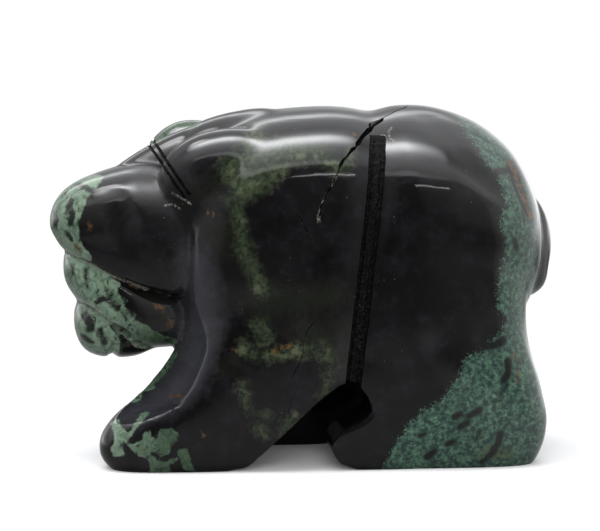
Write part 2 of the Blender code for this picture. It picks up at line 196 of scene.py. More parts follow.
# Masses given by level sections, from the bottom up:
# z, foremost x, hindmost x, inner y, outer y, squareness
TAIL = (
    (15.4, 21.6, 23.3, -0.5, 0.5, 2),
    (16.6, 21.6, 24.5, -1.6, 1.6, 2),
    (18.6, 21.6, 24.9, -2.4, 2.4, 2),
    (20.8, 21.6, 25.1, -2.7, 2.7, 2),
    (23, 21.6, 24.8, -2.4, 2.4, 2),
    (24.8, 21.6, 24, -1.6, 1.6, 2),
    (26, 21.6, 23, -0.6, 0.6, 2),
)
STEPPING_FORELEG = (
    (-0.8, -18, -5.4, 4.4, 9.6, 2.8),
    (0, -19.1, -4.4, 3.7, 10.4, 2.8),
    (1.2, -20.1, -3.4, 3.3, 11, 2.8),
    (2.7, -20.2, -2.2, 3.2, 11.3, 2.8),
    (4, -19.6, -0.8, 3.2, 11.4, 2.8),
    (5.2, -18.6, 0.6, 3.2, 11.4, 2.8),
    (6.6, -17, 2.1, 3, 11.4, 2.8),
    (8, -15.5, 3.6, 2.5, 11.4, 2.8),
    (10.5, -13.3, 4.8, 1.5, 11.4, 2.8),
    (13.5, -11.8, 5, 0.5, 11.4, 2.7),
    (18, -10.6, 4, 0, 11, 2.6),
    (23, -9, 1, 0, 9.6, 2.4),
)
STANDING_FORELEG = (
    (-0.8, -8, 4.6, 4.8, 9.2, 2.6),
    (0, -9.4, 5.8, 4.1, 10.2, 2.7),
    (1.2, -10.7, 6.8, 3.6, 10.8, 2.8),
    (2.8, -11.1, 8.2, 3.4, 11.1, 2.8),
    (5, -11, 9.8, 3.2, 11.3, 2.8),
    (8, -11, 10.2, 2.5, 11.4, 2.8),
    (12, -11, 7.4, 1, 11.4, 2.7),
    (18, -10.4, 4, 0, 11, 2.6),
    (23, -9, 1, 0, 9.6, 2.4),
)
HIND_LEG = (
    (-0.8, 5.6, 21.4, 4.4, 9.4, 3),
    (0, 4.3, 22.4, 3.7, 10.3, 3),
    (1.2, 3.4, 23, 3.3, 10.9, 3),
    (2.4, 3.5, 23.4, 3.2, 11.2, 2.9),
    (3.6, 4.3, 23.6, 3.2, 11.4, 2.8),
    (4.8, 5.8, 23.6, 3.2, 11.6, 2.8),
    (5.8, 6.8, 23.4, 3, 11.7, 2.7),
    (7, 6.4, 23.1, 2.6, 11.8, 2.7),
    (8.4, 4.8, 22.8, 2.2, 11.9, 2.7),
    (11, 3, 22, 1, 11.9, 2.7),
    (14, 2.5, 21.6, 0, 11.8, 2.6),
    (19, 4, 21.6, 0, 11.2, 2.6),
    (24, 7, 20, 0, 9.6, 2.4),
)
NEAR_WEB = (
    (-0.8, -9, 13, 4.4, 9.8, 5),
    (0, -9, 13, 3.7, 10.5, 5),
    (1.2, -9, 13, 3.4, 11, 6),
    (2.7, -9, 13, 3.2, 11.3, 7),
    (6, -9, 13, 3.2, 11.5, 8),
    (9, -9, 13, 2, 11.6, 8),
    (12, -9, 13, 1, 11.6, 6),
)
FAR_HIND_SHIFT = 7.6  # how much further back the far hind toe is set than the near one
FAR_HEEL_SHIFT = -0.3

# Lines in the upright plane along the bear, x and z, that saw cuts and grooves follow
MOUTH_LINE = (
    (-26, 22),
    (-23.7, 21.1),
    (-21.3, 20.1),
    (-19.3, 19.1),
    (-17.2, 18.3),
    (-14.6, 17.4),
    (-12, 16.7),
)
LIP_LINE = (
    (-25, 16.9),
    (-22.6, 16.2),
    (-20.9, 15.6),
    (-19.8, 14.8),
    (-18.8, 14.1),
    (-17.7, 13.6),
    (-16.8, 12.8),
)
JAW_LINE = (
    (-25, 17),
    (-22.6, 16.3),
    (-20.9, 15.6),
    (-19.4, 13.9),
    (-17.9, 12.7),
    (-17, 11.9),
    (-16, 11.3),
    (-14.4, 11.1),
)
CHIN_NOTCH = ((-18.8, 9.5), (-18.7, 11.0), (-18.3, 12.6))
NECK_CUT = ((-16.2, 33.1), (-14.6, 30.9), (-13.1, 28.7), (-11.6, 26.5))
BODY_CUT = ((4.0, 6.6), (4.2, 9.0), (4.7, 13.5), (5.9, 24.0), (6.7, 31.0), (7.3, 36.0))

# The outline of the arch between the near legs, x and z
NEAR_ARCH = (
    (-9.4, -0.6),
    (-7.4, 0.05),
    (-6.4, 0.25),
    (-5.7, 0.6),
    (-5, 1.3),
    (-3.3, 2.9),
    (-1.2, 4.9),
    (0.7, 6.7),
    (2.6, 8),
    (3.4, 8.35),
    (4, 8.3),
    (4.8, 7.9),
    (5.5, 7),
    (5.9, 6),
    (5.4, 5.2),
    (4.3, 4.55),
    (3.4, 4),
    (2.6, 3.3),
    (2.2, 2.6),
    (2.2, 2),
    (2.5, 1.3),
    (3.1, 0.6),
    (4.3, 0.1),
    (5.8, -0.6),
)

# The scoop that hollows the stepping foreleg's front:
# z, x and y of the ridge it leaves outside, x and y of the edge it leaves in front
SCOOP = (
    (17.5, -10.4, -12, -13.6, -6.2),
    (15.5, -9.8, -11.6, -13.1, -5.8),
    (13.8, -9.6, -11.2, -13.2, -5.4),
    (12, -9.7, -10.9, -13.4, -5),
    (9.5, -10.7, -10.9, -14.2, -5),
    (8, -11.5, -10.9, -15.6, -5),
    (6.6, -12.8, -10.9, -17.2, -5.2),
    (5.4, -15, -11.2, -18.8, -6.4),
    (4.6, -17.2, -11.8, -19.6, -8.6),
)
SCOOP_DIP = 0.5  # depth of the hollow between its two edges

# The stone's colours, as they would show on a screen under white light, and its finish
BLACK = (5, 5, 5)
PURPLE = (9, 8, 10)
FLECK = (32, 32, 31)
HAZE = (17, 19, 14)
SLATE = (34, 34, 38)
GREEN = (42, 56, 42)
GREEN_DARK = (26, 38, 28)
GREEN_PALE = (56, 67, 51)
GREEN_HEAD = (80, 95, 81)  # what the green pales to, between these two places along the bear
HEAD_FADE = (-14.0, -19.0)
GREEN_BLACK = (8, 12, 10)
GRAINY = (44, 65, 53)
GRAINY_DARK = (20, 32, 30)
GRAINY_PALE = (72, 94, 70)
OLIVE = (35, 41, 28)
OLIVE_DARK = (17, 23, 16)
OLIVE_PALE = (58, 63, 47)
RUST = (60, 44, 24)
RUST_DARK = (26, 16, 8)
# The pale crumb colour is also used for painted highlights along the lips and the head's rear edge
CHALK_AND_HIGHLIGHT = (100, 97, 90)
SPECK = (72, 71, 67)
SPECK_CELLS = 1.1  # per millimetre: how close the specks lie, how big and how few there are
SPECK_SIZE = 0.05
SPECK_FEW = 0.60
SAWN_DARK = (4, 4, 4)
SAWN_PALE = (28, 28, 27)
POLISHED = 0.07  # roughness where the stone is polished, worn and sawn
WORN = 0.36
SAWN = 0.7
SPECULAR = 0.3  # its specular level in the same places
WORN_SPECULAR = 0.2
SAWN_SPECULAR = 0.05
WORN_EDGE = (0.30, 0.80)  # between which values of its field the wear sets in
RIPPLE = 0.00001  # how high the polish ripples, in metres

# The noises that break up the pattern: scale per millimetre, detail, roughness and distortion
NOISES = {
    "wide": (0.55, 5.0, 0.6, 0.0),
    "fine": (2.2, 5.0, 0.65, 0.0),
    "grain": (7.0, 3.0, 0.7, 0.0),
    "marbled": (0.9, 6.0, 0.62, 1.6),
    "blots": (1.3, 3.0, 0.6, 0.8),
    "ripple": (0.35, 2.0, 0.55, 0.0),
}
# The edge of each field of the pattern: how far it wanders, its grit and its softness
EDGES = {
    "haze": (0.8, 0.3, 0.35),
    "slate": (0.5, 0.2, 0.45),
    "grainy": (0.30, 0.75, 0.03),
    "olive": (0.45, 0.12, 0.20),
    "green": (0.16, 0.10, 0.02),
    "dark": (0.20, 0.10, 0.05),
    "rust": (0.22, 0.25, 0.06),
    "chalk_and_highlight": (0.02, 0.20, 0.03),
}
FINE_WANDER = 0.7  # the fine noise's share in the wandering

# The light by its angle over the bear, from the front horizon over the top to the back, in
# degrees, with its strength. The last is the back horizon.
BANDS = (
    (0, 0.05), (36, 0.15), (45, 0.4), (47, 3.4),
    (50, 3.6), (53, 2), (60, 3.2), (66, 4), (70, 5.2), (74, 8), (78, 14), (82, 22),
    (86, 27), (90, 22), (93, 13), (96, 6.5), (101, 3.4), (108, 2.2), (128, 1.9), (136, 2.6),
    (142, 4.6), (147, 2.8), (152, 1.1), (158, 0.6), (180, 0.55),
)
# The same past the ends of the lights, and how far along the bear the one turns into the other
END_BANDS = (
    (0, 0.5), (20, 0.6), (35, 0.8), (47, 1), (54, 2.2), (66, 2.8), (75, 2), (84, 1.4),
    (94, 1.7), (104, 2.5), (118, 2.2), (132, 1.5), (145, 1), (160, 1), (170, 1.5), (180, 2.4),
)
LIGHT_END = (0.08, 0.40)  # towards the tail
LIGHT_START = (0.34, 0.60)  # towards the head
GLOW_WAY = (-0.37, 0.113, 0.922)  # a soft glow over the head: where, how wide and how strong
GLOW_FADE = (0.985, 0.998)
GLOW_LEVEL = 14.0
RIM_LEVEL = 1.8  # the pale wall behind the tail, and how far round it starts
RIM_FADE = (0.74, 0.98)
BELOW = 0.2  # the light from below the horizon, and how far under it that starts
BELOW_FADE = (0.0, 0.2)
# Lamps: where each stands, its width and height in metres and its power in watts
SLIT = ("slit", (0.120, -0.49, 0.365), (0.150, 0.005), 0.050)  # a line in the flank's polish
FILL = ("fill", (-0.03, -0.75, 0.30), (0.5, 0.5), 10.5)  # wide and soft; the polish doesn't show it
BRIGHTEST = 27.0  # the strongest light in the bands
COOL = (0.97, 0.98, 1.0)  # their tint
FLOOR_SIZE = 0.8
FLOOR_GREY = (163, 163, 163)  # it shows as nearly white, because the light over it is strong
# Painted darker reflection: the floor is this grey only where the stone's polish reflects it, up to
# the x after it
FLOOR_REFLECTION_PAINTED_GREY = (112, 112, 112)  # how grey it is in the stone's polish, and up to which x
PAINTED_REFLECTION_END = (0.022, 0.014)
FLOOR_FADE = (0.005, 0.11)  # how far out from the bear the floor starts and ends its soft edge

SAWN_AWAY = 9.0  # how much a lobe of the head loses past its saw line
CHANNEL_FLOOR = (1.0, 0.93, 1.016)  # the bear's form at the floor of the channels, as a share
GROOVE_FLOOR = (1.0, 0.90, 1.023)  # and at the foot of the saw's deepest strokes
NECK_FLOOR = (1.0, 0.965, 0.992)
CHIN_WIDTH = 0.42  # the notch in the chin: how far it spreads and how deep it is
CHIN_DEPTH = 0.42
SAW_STEP = 0.4  # how far apart a saw cut wanders, on the grid, and how far
SAW_WANDER = 0.022
SAW_SLIDE = 0.4  # how unevenly its steps are spaced
CUT_ROUGHNESS = 0.05  # how rough the floor of a cut is, in millimetres

# Saw cuts: line, how far each side of it the cut reaches (up or back, down or forward), floor
CHANNELS = (
    ("body channel", BODY_CUT, 0.80, 0.80, CHANNEL_FLOOR),
    ("body front stroke", BODY_CUT, 0.74, -0.30, GROOVE_FLOOR),
    ("body rear stroke", BODY_CUT, -0.34, 0.76, GROOVE_FLOOR),
    ("neck front stroke", NECK_CUT, 0.44, -0.14, NECK_FLOOR),
    ("neck rear stroke", NECK_CUT, -0.12, 0.42, NECK_FLOOR),
)

# Soft hollows that the polish leaves: pixels along each, width and depth in millimetres
HOLLOWS = (
    ("behind the haunch", ((430, 118), (445, 134), (458, 149), (474, 164), (490, 180)), 1.7, 0.14),
    ("above the wrist", ((140, 411), (162, 408), (185, 402)), 0.5, 0.12),
)
# The head's flattened side: its crisp edge and its outline in pixels, how wide the step at the
# edge and the slope at the other sides are, and how deep it is, in millimetres
CHEEK_EDGE = ((86, 196), (93, 190), (104, 187), (118, 187), (127, 190), (133, 199), (138, 212),
              (145, 228), (156, 240), (172, 247))
CHEEK_REST = ((172, 247), (176, 270), (168, 292), (130, 290), (60, 262), (40, 240), (48, 210),
              (70, 205), (86, 196))
CHEEK_STEP = 0.9
CHEEK_SLOPE = 3.5
CHEEK_DEPTH = 0.45
CHEEK_NEAR = -1.0  # only what lies nearer than this is flattened
# The body channel: it is rough within this of its line and up to this height, and the polish
# rolls over into it this wide and deep
CHANNEL_HALF = 0.75
CHANNEL_TOP = 32.1
CHANNEL_ROLL = 1.5
CHANNEL_SINK = 0.30
SAWN_STEEP = 60.0  # how fast the stone turns rough with the depth of a cut

# Cracks in the near side: pixels along each, width and depth in millimetres
CRACKS = (
    ("main crack, top", ((412, 103), (404, 108), (396, 111), (388, 115), (382, 119)), 0.16, 0.30),
    ("main crack, gouged", ((383, 118), (376, 124), (369, 130), (362, 138), (356, 147)), 0.42, 0.55),
    ("main crack, middle", ((357, 146), (350, 153), (343, 160), (339, 169)), 0.30, 0.40),
    ("main crack, low", ((340, 168), (335, 178), (330, 187), (325, 197), (321, 207), (318, 219)),
     0.20, 0.30),
    ("branch", ((298, 212), (302, 222), (309, 234), (316, 243), (322, 254), (325, 266)), 0.10, 0.12),
    ("branch, end", ((325, 266), (327, 276), (329, 286)), 0.06, 0.08),
    ("lower crack", ((316, 320), (307, 331), (304, 342), (303, 352), (298, 366), (292, 379)),
     0.09, 0.16),
    ("lower crack, end", ((291, 398), (289, 412), (289, 425)), 0.07, 0.12),
)
CRACK_STEP = 0.45  # how far apart a crack wanders and how far, in millimetres
CRACK_WANDER = 0.035
CRACK_WIDE = (0.6, 1.4)  # how much its width and its depth vary, and its width at the ends
CRACK_DEEP = (0.7, 1.2)
CRACK_TIP = 0.3
CRACK_ABOVE = 0.15  # how far a wedge starts above the skin, and its width there and at its foot
CRACK_TOP = 1.3
CRACK_FOOT = 0.25
HOLLOW_STEP = 4.0  # pixels between the places along a hollow, and along a vein
VEIN_STEP = 3.0

# The stone's pattern on the near side, by pixel, with painted highlights along some edges and a
# painted shade line on the rump among it. A patch is a closed outline and how many millimetres it
# goes into the stone. A vein is a line and its half width in pixels; below 0, only crumbs of it show.
GREEN_PATCHES = (
    ("snout", ((40, 215), (50, 190), (66, 176), (84, 172), (104, 176), (98, 186), (88, 198), (83, 210),
               (79, 222), (79, 234), (83, 246), (92, 256), (92, 262), (60, 250)), 12),
    ("tongue", ((55, 248), (92, 264), (110, 275), (121, 285), (117, 293), (128, 300), (124, 307),
                (137, 314), (133, 320), (146, 325), (152, 330), (165, 336), (178, 339), (170, 350),
                (146, 351), (126, 339), (110, 326), (92, 308), (76, 300), (55, 285)), 12),
    ("jaw", ((65, 300), (84, 302), (96, 312), (108, 322), (118, 332), (121, 345), (118, 358),
             (100, 360), (70, 345)), 9),
    ("far lump", ((140, 150), (146, 138), (160, 126), (180, 116), (206, 112), (200, 126), (176, 130),
                  (158, 142)), 16),
    ("heel", ((470, 458), (480, 447), (490, 440), (502, 444), (518, 444), (524, 452), (518, 466),
              (470, 466)), 2),
    ("paw, front", ((110, 424), (118, 419), (123, 428), (128, 433), (136, 421), (145, 410), (150, 413),
                    (140, 424), (131, 437), (122, 444), (124, 456), (112, 456), (111, 448), (115, 440),
                    (114, 430)), 3),
    ("paw, side", ((124, 442), (133, 444), (142, 440), (144, 432), (150, 431), (152, 437), (157, 439),
                   (160, 430), (170, 428), (179, 433), (177, 440), (172, 446), (168, 455), (160, 456),
                   (151, 451), (148, 457), (138, 456), (130, 448)), 2),
    ("paw, sole", ((149, 457), (153, 455), (158, 461), (166, 463), (174, 457), (178, 460), (168, 466),
                   (172, 474), (152, 474), (150, 463)), 3),
    ("paw, heel", ((178, 449), (188, 449), (190, 458), (193, 466), (197, 472), (184, 471), (181, 462),
                   (178, 455)), 2),
    ("wrist", ((100, 406), (130, 396), (150, 380), (165, 364), (176, 350), (178, 354), (168, 371),
               (157, 381), (153, 390), (143, 391), (140, 401), (130, 402), (114, 411)), 6),
)
OLIVE_PATCHES = (
    ("under the elbow", ((253, 426), (262, 424), (269, 431), (263, 437), (255, 435)), 2),
    ("elbow edge", ((280, 424), (290, 418), (299, 417), (295, 427), (288, 434), (281, 437)), 2),
    ("shoulder", ((219, 168), (228, 157), (240, 148), (245, 136), (250, 126), (262, 122), (267, 136),
                  (276, 142), (300, 142), (325, 147), (344, 160), (347, 176), (330, 168), (310, 160),
                  (293, 165), (281, 176), (268, 190), (255, 199), (242, 207), (232, 201), (229, 186),
                  (222, 178)), 6),
    ("shoulder streak", ((233, 204), (240, 206), (243, 222), (248, 237), (253, 254), (262, 268),
                         (266, 281), (272, 295), (262, 298), (254, 288), (247, 276), (242, 262),
                         (236, 248), (236, 232), (233, 218)), 4),
    ("flank patch", ((254, 322), (266, 320), (273, 330), (272, 343), (262, 346), (255, 336)), 2),
)
# These give way to black grain by grain
GRAINY_PATCHES = (
    ("rump", ((462, 102), (482, 112), (507, 128), (532, 158), (524, 166), (512, 158), (508, 168),
              (494, 169), (484, 158), (474, 142), (464, 130), (458, 116)), 14),
    ("rump, small", ((499, 175), (511, 173), (515, 184), (504, 188)), 6),
    ("rump edge", ((503, 184), (518, 178), (533, 190), (537, 210), (537, 296), (545, 330),
                   (530, 345), (508, 346), (498, 338), (507, 318), (497, 305), (499, 285), (503, 262),
                   (506, 240), (500, 222), (506, 206)), 14),
    ("hind leg", ((384, 470), (390, 452), (398, 440), (408, 426), (421, 412), (432, 405), (446, 395),
                  (456, 380), (463, 365), (471, 353), (483, 350), (492, 340), (503, 330), (560, 330),
                  (565, 400), (560, 470)), 9),
)
OLIVE_VEINS = (
    ("flank band", ((242, 344), (247, 351), (256, 355), (274, 355), (296, 352), (312, 350)), 3.6),
    ("flank band, rear", ((322, 345), (330, 360), (329, 378), (325, 396)), 3.6),
    ("arc", ((242, 384), (244, 395), (248, 406), (251, 413)), 2),
    ("small arc", ((262, 413), (266, 415), (270, 419)), 1.6),
    ("above the streak", ((228, 200), (236, 210)), 4),
    ("along the crack", ((337, 172), (346, 164), (352, 152)), 3),
)
# Faint clouds, which are as dark as the stone's black with a little green in it
HAZE_VEINS = (
    ("flank", ((262, 300), (285, 300), (305, 300), (330, 296)), 16),
    ("under the streak", ((256, 300), (262, 315)), 9),
    ("above the arch", ((300, 330), (325, 335), (335, 360)), 13),
    ("neck", ((205, 190), (213, 184)), 9),
    ("shoulder front", ((208, 232), (218, 244), (228, 232)), 12),
    ("throat", ((150, 300), (165, 320), (172, 330)), 9),
    ("chest", ((190, 262), (194, 290), (194, 330)), 13),
    ("foreleg", ((180, 345), (175, 365), (160, 385)), 8),
    ("shoulder side", ((222, 366), (235, 362)), 6),
    ("beside the channel", ((345, 322), (343, 334)), 6),
)
# Duller grey stone, in the scoop of the foreleg and up to the throat
SLATE_PATCHES = (
    ("chest", ((184, 252), (196, 246), (208, 262), (216, 290), (218, 322), (212, 352), (203, 376),
               (188, 399), (168, 408), (146, 414), (124, 424), (112, 424), (122, 410), (146, 398),
               (160, 385), (172, 366), (180, 344), (178, 322), (184, 296)), 9),
)
RUST_VEINS = (
    ("rump", ((511, 164), (517, 178), (523, 194), (531, 216)), 5),
    ("flank band", ((272, 352), (280, 348), (290, 345)), 1),
    ("flank spot", ((228, 350), (235, 350)), 0),
    ("foreleg spot", ((200, 432), (203, 436)), 1),
    ("shoulder spot", ((207, 212), (209, 213)), 0.4),
    ("shoulder spot, rear", ((213, 214), (214, 215)), 0.3),
    ("mouth corner", ((131, 285), (138, 289)), 0.8),
    ("throat spot", ((155, 305), (163, 310)), 1.5),
    ("throat spot, low", ((168, 321), (171, 325)), 1.6),
    ("snout spot", ((76, 247), (80, 250)), 1.8),
    ("brow spot", ((84, 196), (88, 199)), 1.4),
    ("cheek", ((89, 222), (90, 228)), 2),
    ("wrist spot", ((172, 396), (182, 395)), 1.4),
    ("back spot", ((355, 134), (356, 135)), 1.3),
    ("heel line", ((514, 352), (518, 366), (518, 380)), 1),
)
# Pale crumbs in the cracks and scratches, and painted highlights along the edges of the lips and
# the mouth and along the head's rear edge
CHALK_AND_HIGHLIGHT_VEINS = (
    ("branch", ((299, 214), (302, 222), (309, 234), (316, 243), (322, 254)), -0.9),
    ("main crack", ((336, 176), (331, 186), (326, 195), (321, 206), (318, 218)), 0.1),
    ("crack's foot", ((318, 217), (319, 221)), 1),
    # The lip, lower lip and mouth corner lines and the neck line paint a highlight on those edges
    ("lip", ((66, 250), (80, 258), (92, 265), (113, 276), (135, 284), (146, 289)), 1.3),
    ("lower lip", ((80, 300), (92, 305), (100, 312), (108, 319), (118, 326)), 1.2),
    ("corner of the mouth", ((116, 328), (126, 337), (135, 346), (146, 348)), 0.8),
    ("neck highlight line", ((172, 193), (182, 198), (191, 204)), 0.6),
    ("neck squiggle", ((165, 206), (170, 204), (176, 206), (180, 209)), 0.6),
    ("haunch scratch", ((392, 127), (388, 132), (389, 138), (394, 141)), 0.5),
)
# What is less polished than the rest
WORN_PATCHES = (
    ("neck", ((127, 180), (132, 168), (146, 154), (164, 150), (182, 152), (194, 168), (199, 190),
              (200, 212), (194, 232), (184, 246), (172, 250), (156, 243), (145, 230), (138, 214),
              (133, 200)), 6),
)
WORN_VEINS = (
    ("ridge of the foreleg", ((192, 244), (198, 280), (207, 320), (210, 350), (202, 377),
                              (189, 400), (173, 409), (144, 420), (118, 432), (108, 444)), 3.2),
)
DARK_VEINS = (
    ("snout streak", ((71, 200), (69, 208), (72, 215), (70, 224)), 3.4),
    ("snout tip", ((53, 214), (57, 219), (54, 226)), 3.4),
    ("snout spot", ((67, 233), (71, 238)), 2.4),
    ("snout, low", ((79, 222), (83, 232), (80, 240)), 2.2),
    ("brow", ((78, 184), (86, 187), (92, 192)), 3),
    ("snout, top", ((62, 196), (66, 192)), 1.8),
    ("tongue streak", ((72, 266), (73, 274)), 2.4),
    ("tongue streak, middle", ((86, 270), (87, 288)), 2.2),
    ("tongue arc", ((96, 303), (102, 299), (110, 301), (117, 309)), 2.2),
    ("tongue arc, upper", ((106, 290), (110, 298), (112, 306)), 1.6),
    ("tongue feather", ((120, 290), (126, 303), (133, 315)), 2.4),
    ("jaw spot", ((84, 316), (90, 322), (90, 328)), 5),
    ("jaw spot, low", ((82, 336), (92, 342)), 3),
    ("jaw middle", ((100, 330), (104, 342)), 3.5),
    # A painted shade line: the dark crease in the polish over the rump
    ("painted shade line on the rump", ((428, 121), (455, 127), (480, 137), (503, 149), (520, 160)), 1.3),
    ("rump gap", ((496, 172), (510, 170), (518, 176)), 3),
    ("tongue feather, front", ((112, 292), (118, 306), (127, 320)), 1.2),
    ("tongue feather, back", ((128, 294), (136, 308), (146, 322)), 1.6),
    ("shoulder spot", ((257, 146), (268, 147)), 2.6),
    ("shoulder fleck", ((262, 172), (268, 178)), 1.6),
    ("rump streak's edge", ((508, 160), (511, 176), (518, 195), (527, 214)), 2.4),
    ("hind spot 1", ((454, 417), (460, 414)), 3.2),
    ("hind spot 2", ((469, 416), (479, 410)), 3.5),
    ("hind spot 3", ((460, 427), (468, 422)), 2.7),
    ("hind spot 4", ((420, 436), (425, 434)), 2.2),
    ("hind spot 5", ((447, 444), (453, 442)), 2.9),
    ("hind spot 6", ((427, 457), (435, 451)), 3.4),
    ("hind spot 7", ((476, 440), (480, 431)), 1.9),
    ("hind streak", ((508, 362), (508, 372), (503, 381)), 3.8),
    ("hind streak, thin", ((507, 384), (500, 396)), 1.8),
    ("heel streak", ((500, 434), (498, 444), (491, 454), (482, 462)), 3.6),
    ("haunch patch", ((485, 347), (496, 345), (503, 340)), 4),
    ("rump fleck", ((515, 240), (517, 248)), 3),
)
PATCHES = {"green": GREEN_PATCHES, "grainy": GRAINY_PATCHES, "olive": OLIVE_PATCHES,
           "slate": SLATE_PATCHES, "worn": WORN_PATCHES}
VEINS = {"olive": OLIVE_VEINS, "haze": HAZE_VEINS, "dark": DARK_VEINS, "rust": RUST_VEINS,
         "chalk_and_highlight": CHALK_AND_HIGHLIGHT_VEINS, "worn": WORN_VEINS}
# What the photograph doesn't show: patches on the far side, by place on the grid and radius
FAR_BLOBS = (
    ("haunch", (17, 11, 9), 7),
    ("haunch, upper", (21, 9, 20), 5),
    ("shoulder", (-9, 11, 24), 4.5),
    ("flank", (-1, 11.5, 17), 3.6),
    ("flank streak", (1.5, 11.5, 12.5), 2.2),
    ("foreleg", (-4, 11, 4), 3.4),
    ("belly", (4, 11.5, 26), 3),
    ("cheek", (-16, 6.5, 21), 3.2),
)
FAR_BENDS = ((1.7, 1.9), (0.85, 0.826))  # how far their outlines bend, and over what length
FAR_PHASES = (0.0, 1.3, 2.6)
FIELD_RANGE = 1.5  # millimetres either side of a patch's edge that are painted
PATCH_FRONT = 12.0  # a patch's depth counts from this far in front of the bear's middle
PATCH_FADE = 0.6  # how fast a patch gives way beyond its depth, and a vein off its line
VEIN_FADE = 0.97


def smooth_rows(rows, steps=STEPS):
    """More rows between the given ones, on a Catmull-Rom curve through them."""
    rows = np.array(rows, dtype=float)
    ends = np.vstack((2 * rows[0] - rows[1], rows, 2 * rows[-1] - rows[-2]))
    found = []
    for k in range(len(rows) - 1):
        a, b, c, d = ends[k : k + 4]
        for t in np.arange(steps) / steps:
            bend = (2 * a - 5 * b + 4 * c - d) * t + (3 * b - a - 3 * c + d) * t * t
            found.append(b + 0.5 * t * (c - a + bend))
    found.append(rows[-1])
    return np.array(found)


def evenly(points, step):
    """Points this far apart along a line through the given ones."""
    points = np.array(points, dtype=float)
    run = np.concatenate(([0.0], np.cumsum(np.linalg.norm(np.diff(points, axis=0), axis=1))))
    places = np.linspace(0.0, run[-1], max(2, round(run[-1] / step) + 1))
    return np.column_stack([np.interp(places, run, column) for column in points.T])


def rounded(squareness):
    """A superellipse of half width 1: a circle at 2, squarer above."""
    turn = np.arange(SIDES) * math.tau / SIDES
    power = 2.0 / squareness
    across = np.sign(np.cos(turn)) * np.abs(np.cos(turn)) ** power
    up = np.sign(np.sin(turn)) * np.abs(np.sin(turn)) ** power
    return across, up


def upright_ring(row, side):
    x, low, high, middle, half, squareness = row
    across, up = rounded(squareness)
    y = side * (middle + across * half)
    z = (low + high) / 2 + up * (high - low) / 2
    return np.column_stack((np.full(SIDES, x), y, z)) * STRETCH


def level_ring(row, side):
    z, front, back, inner, outer, squareness = row
    across, along = rounded(squareness)
    x = (front + back) / 2 + along * (back - front) / 2
    y = side * ((inner + outer) / 2 + across * (outer - inner) / 2)
    return np.column_stack((x, y, np.full(SIDES, z))) * STRETCH


def new_object(name, form):
    bmesh.ops.recalc_face_normals(form, faces=form.faces)
    mesh = bpy.data.meshes.new(name)
    form.to_mesh(mesh)
    form.free()
    made = bpy.data.objects.new(name, mesh)
    bpy.context.scene.collection.objects.link(made)
    return made


def tube(name, rings):
    """A closed solid through rings of points."""
    form = bmesh.new()
    rings = [[form.verts.new(point) for point in ring] for ring in rings]
    for first, second in zip(rings, rings[1:]):
        for k in range(len(first)):
            after = (k + 1) % len(first)
            form.faces.new((first[k], first[after], second[after], second[k]))
    form.faces.new(rings[0])
    form.faces.new(rings[-1])
    return new_object(name, form)


def mass(name, rows, ring, side):
    return tube(name, [ring(row, side) for row in smooth_rows(rows)])


def applied(source, name):
    """The object with its modifiers worked into a new mesh; the old one is removed."""
    bpy.context.view_layer.update()
    found = source.evaluated_get(bpy.context.evaluated_depsgraph_get())
    mesh = bpy.data.meshes.new_from_object(found)
    bpy.data.objects.remove(source)
    made = bpy.data.objects.new(name, mesh)
    bpy.context.scene.collection.objects.link(made)
    return made


def fused(name, parts, polish):
    """One skin around all the parts, with the joins between them polished."""
    form = bmesh.new()
    for part in parts:
        form.from_mesh(part.data)
        bpy.data.objects.remove(part)
    whole = new_object(name, form)
    skin = whole.modifiers.new("fuse", "REMESH")
    skin.mode = "VOXEL"
    skin.voxel_size = SKIN_SIZE
    rub = whole.modifiers.new("polish", "SMOOTH")
    rub.iterations = round((polish / SKIN_SIZE) ** 2)
    return applied(whole, name)


def carved(part, cutters, solver="EXACT"):
    """The part without what the cutters take away; they are used up."""
    for cutter in cutters:
        step = part.modifiers.new(cutter.name, "BOOLEAN")
        step.operation = "DIFFERENCE"
        step.solver = solver
        step.object = cutter
    left = applied(part, part.name)
    for cutter in cutters:
        bpy.data.objects.remove(cutter)
    return left


def blade(name, line, up, down, wander=0.0, step=None, seed=0):
    """A plate across the bear along a line in its upright plane, this far above and below it."""
    line = smooth_rows(line, CUT_STEPS)
    if step:
        line = evenly(line, step)
    chance = np.random.default_rng(seed)
    jitter = chance.normal(0.0, wander, (len(line), 2))
    run = np.gradient(line, axis=0)
    run /= np.linalg.norm(run, axis=1)[:, None]
    if step:
        slide = chance.uniform(-SAW_SLIDE, SAW_SLIDE, len(line) - 2)
        line[1:-1] += run[1:-1] * slide[:, None] * step
    above = np.column_stack((-run[:, 1], run[:, 0]))
    rings = []
    for (x, z), (dx, dz), (rough_up, rough_down) in zip(line, above, jitter):
        high = (x + dx * (up + rough_up), z + dz * (up + rough_up))
        low = (x - dx * (down + rough_down), z - dz * (down + rough_down))
        near = [(end[0], -REACH, end[1]) for end in (high, low)]
        far = [(end[0], REACH, end[1]) for end in (low, high)]
        rings.append(np.array(near + far) * STRETCH)
    return tube(name, rings)


def scoop():
    """A rounded cutter whose arc runs through the two given edges at each level."""
    turn = np.arange(SIDES) * math.tau / SIDES
    rings = []
    for z, ridge_x, ridge_y, front_x, front_y in smooth_rows(SCOOP):
        chord = np.array((front_x - ridge_x, front_y - ridge_y))
        span = np.linalg.norm(chord)
        radius = span * span / (8 * SCOOP_DIP) + SCOOP_DIP / 2
        outward = np.array((-chord[1], chord[0])) / span
        x, y = np.array((ridge_x, ridge_y)) + chord / 2 + outward * (radius - SCOOP_DIP)
        circle = (x + radius * np.cos(turn), y + radius * np.sin(turn), np.full(SIDES, z))
        rings.append(np.column_stack(circle) * STRETCH)
    return tube("foreleg scoop", rings)


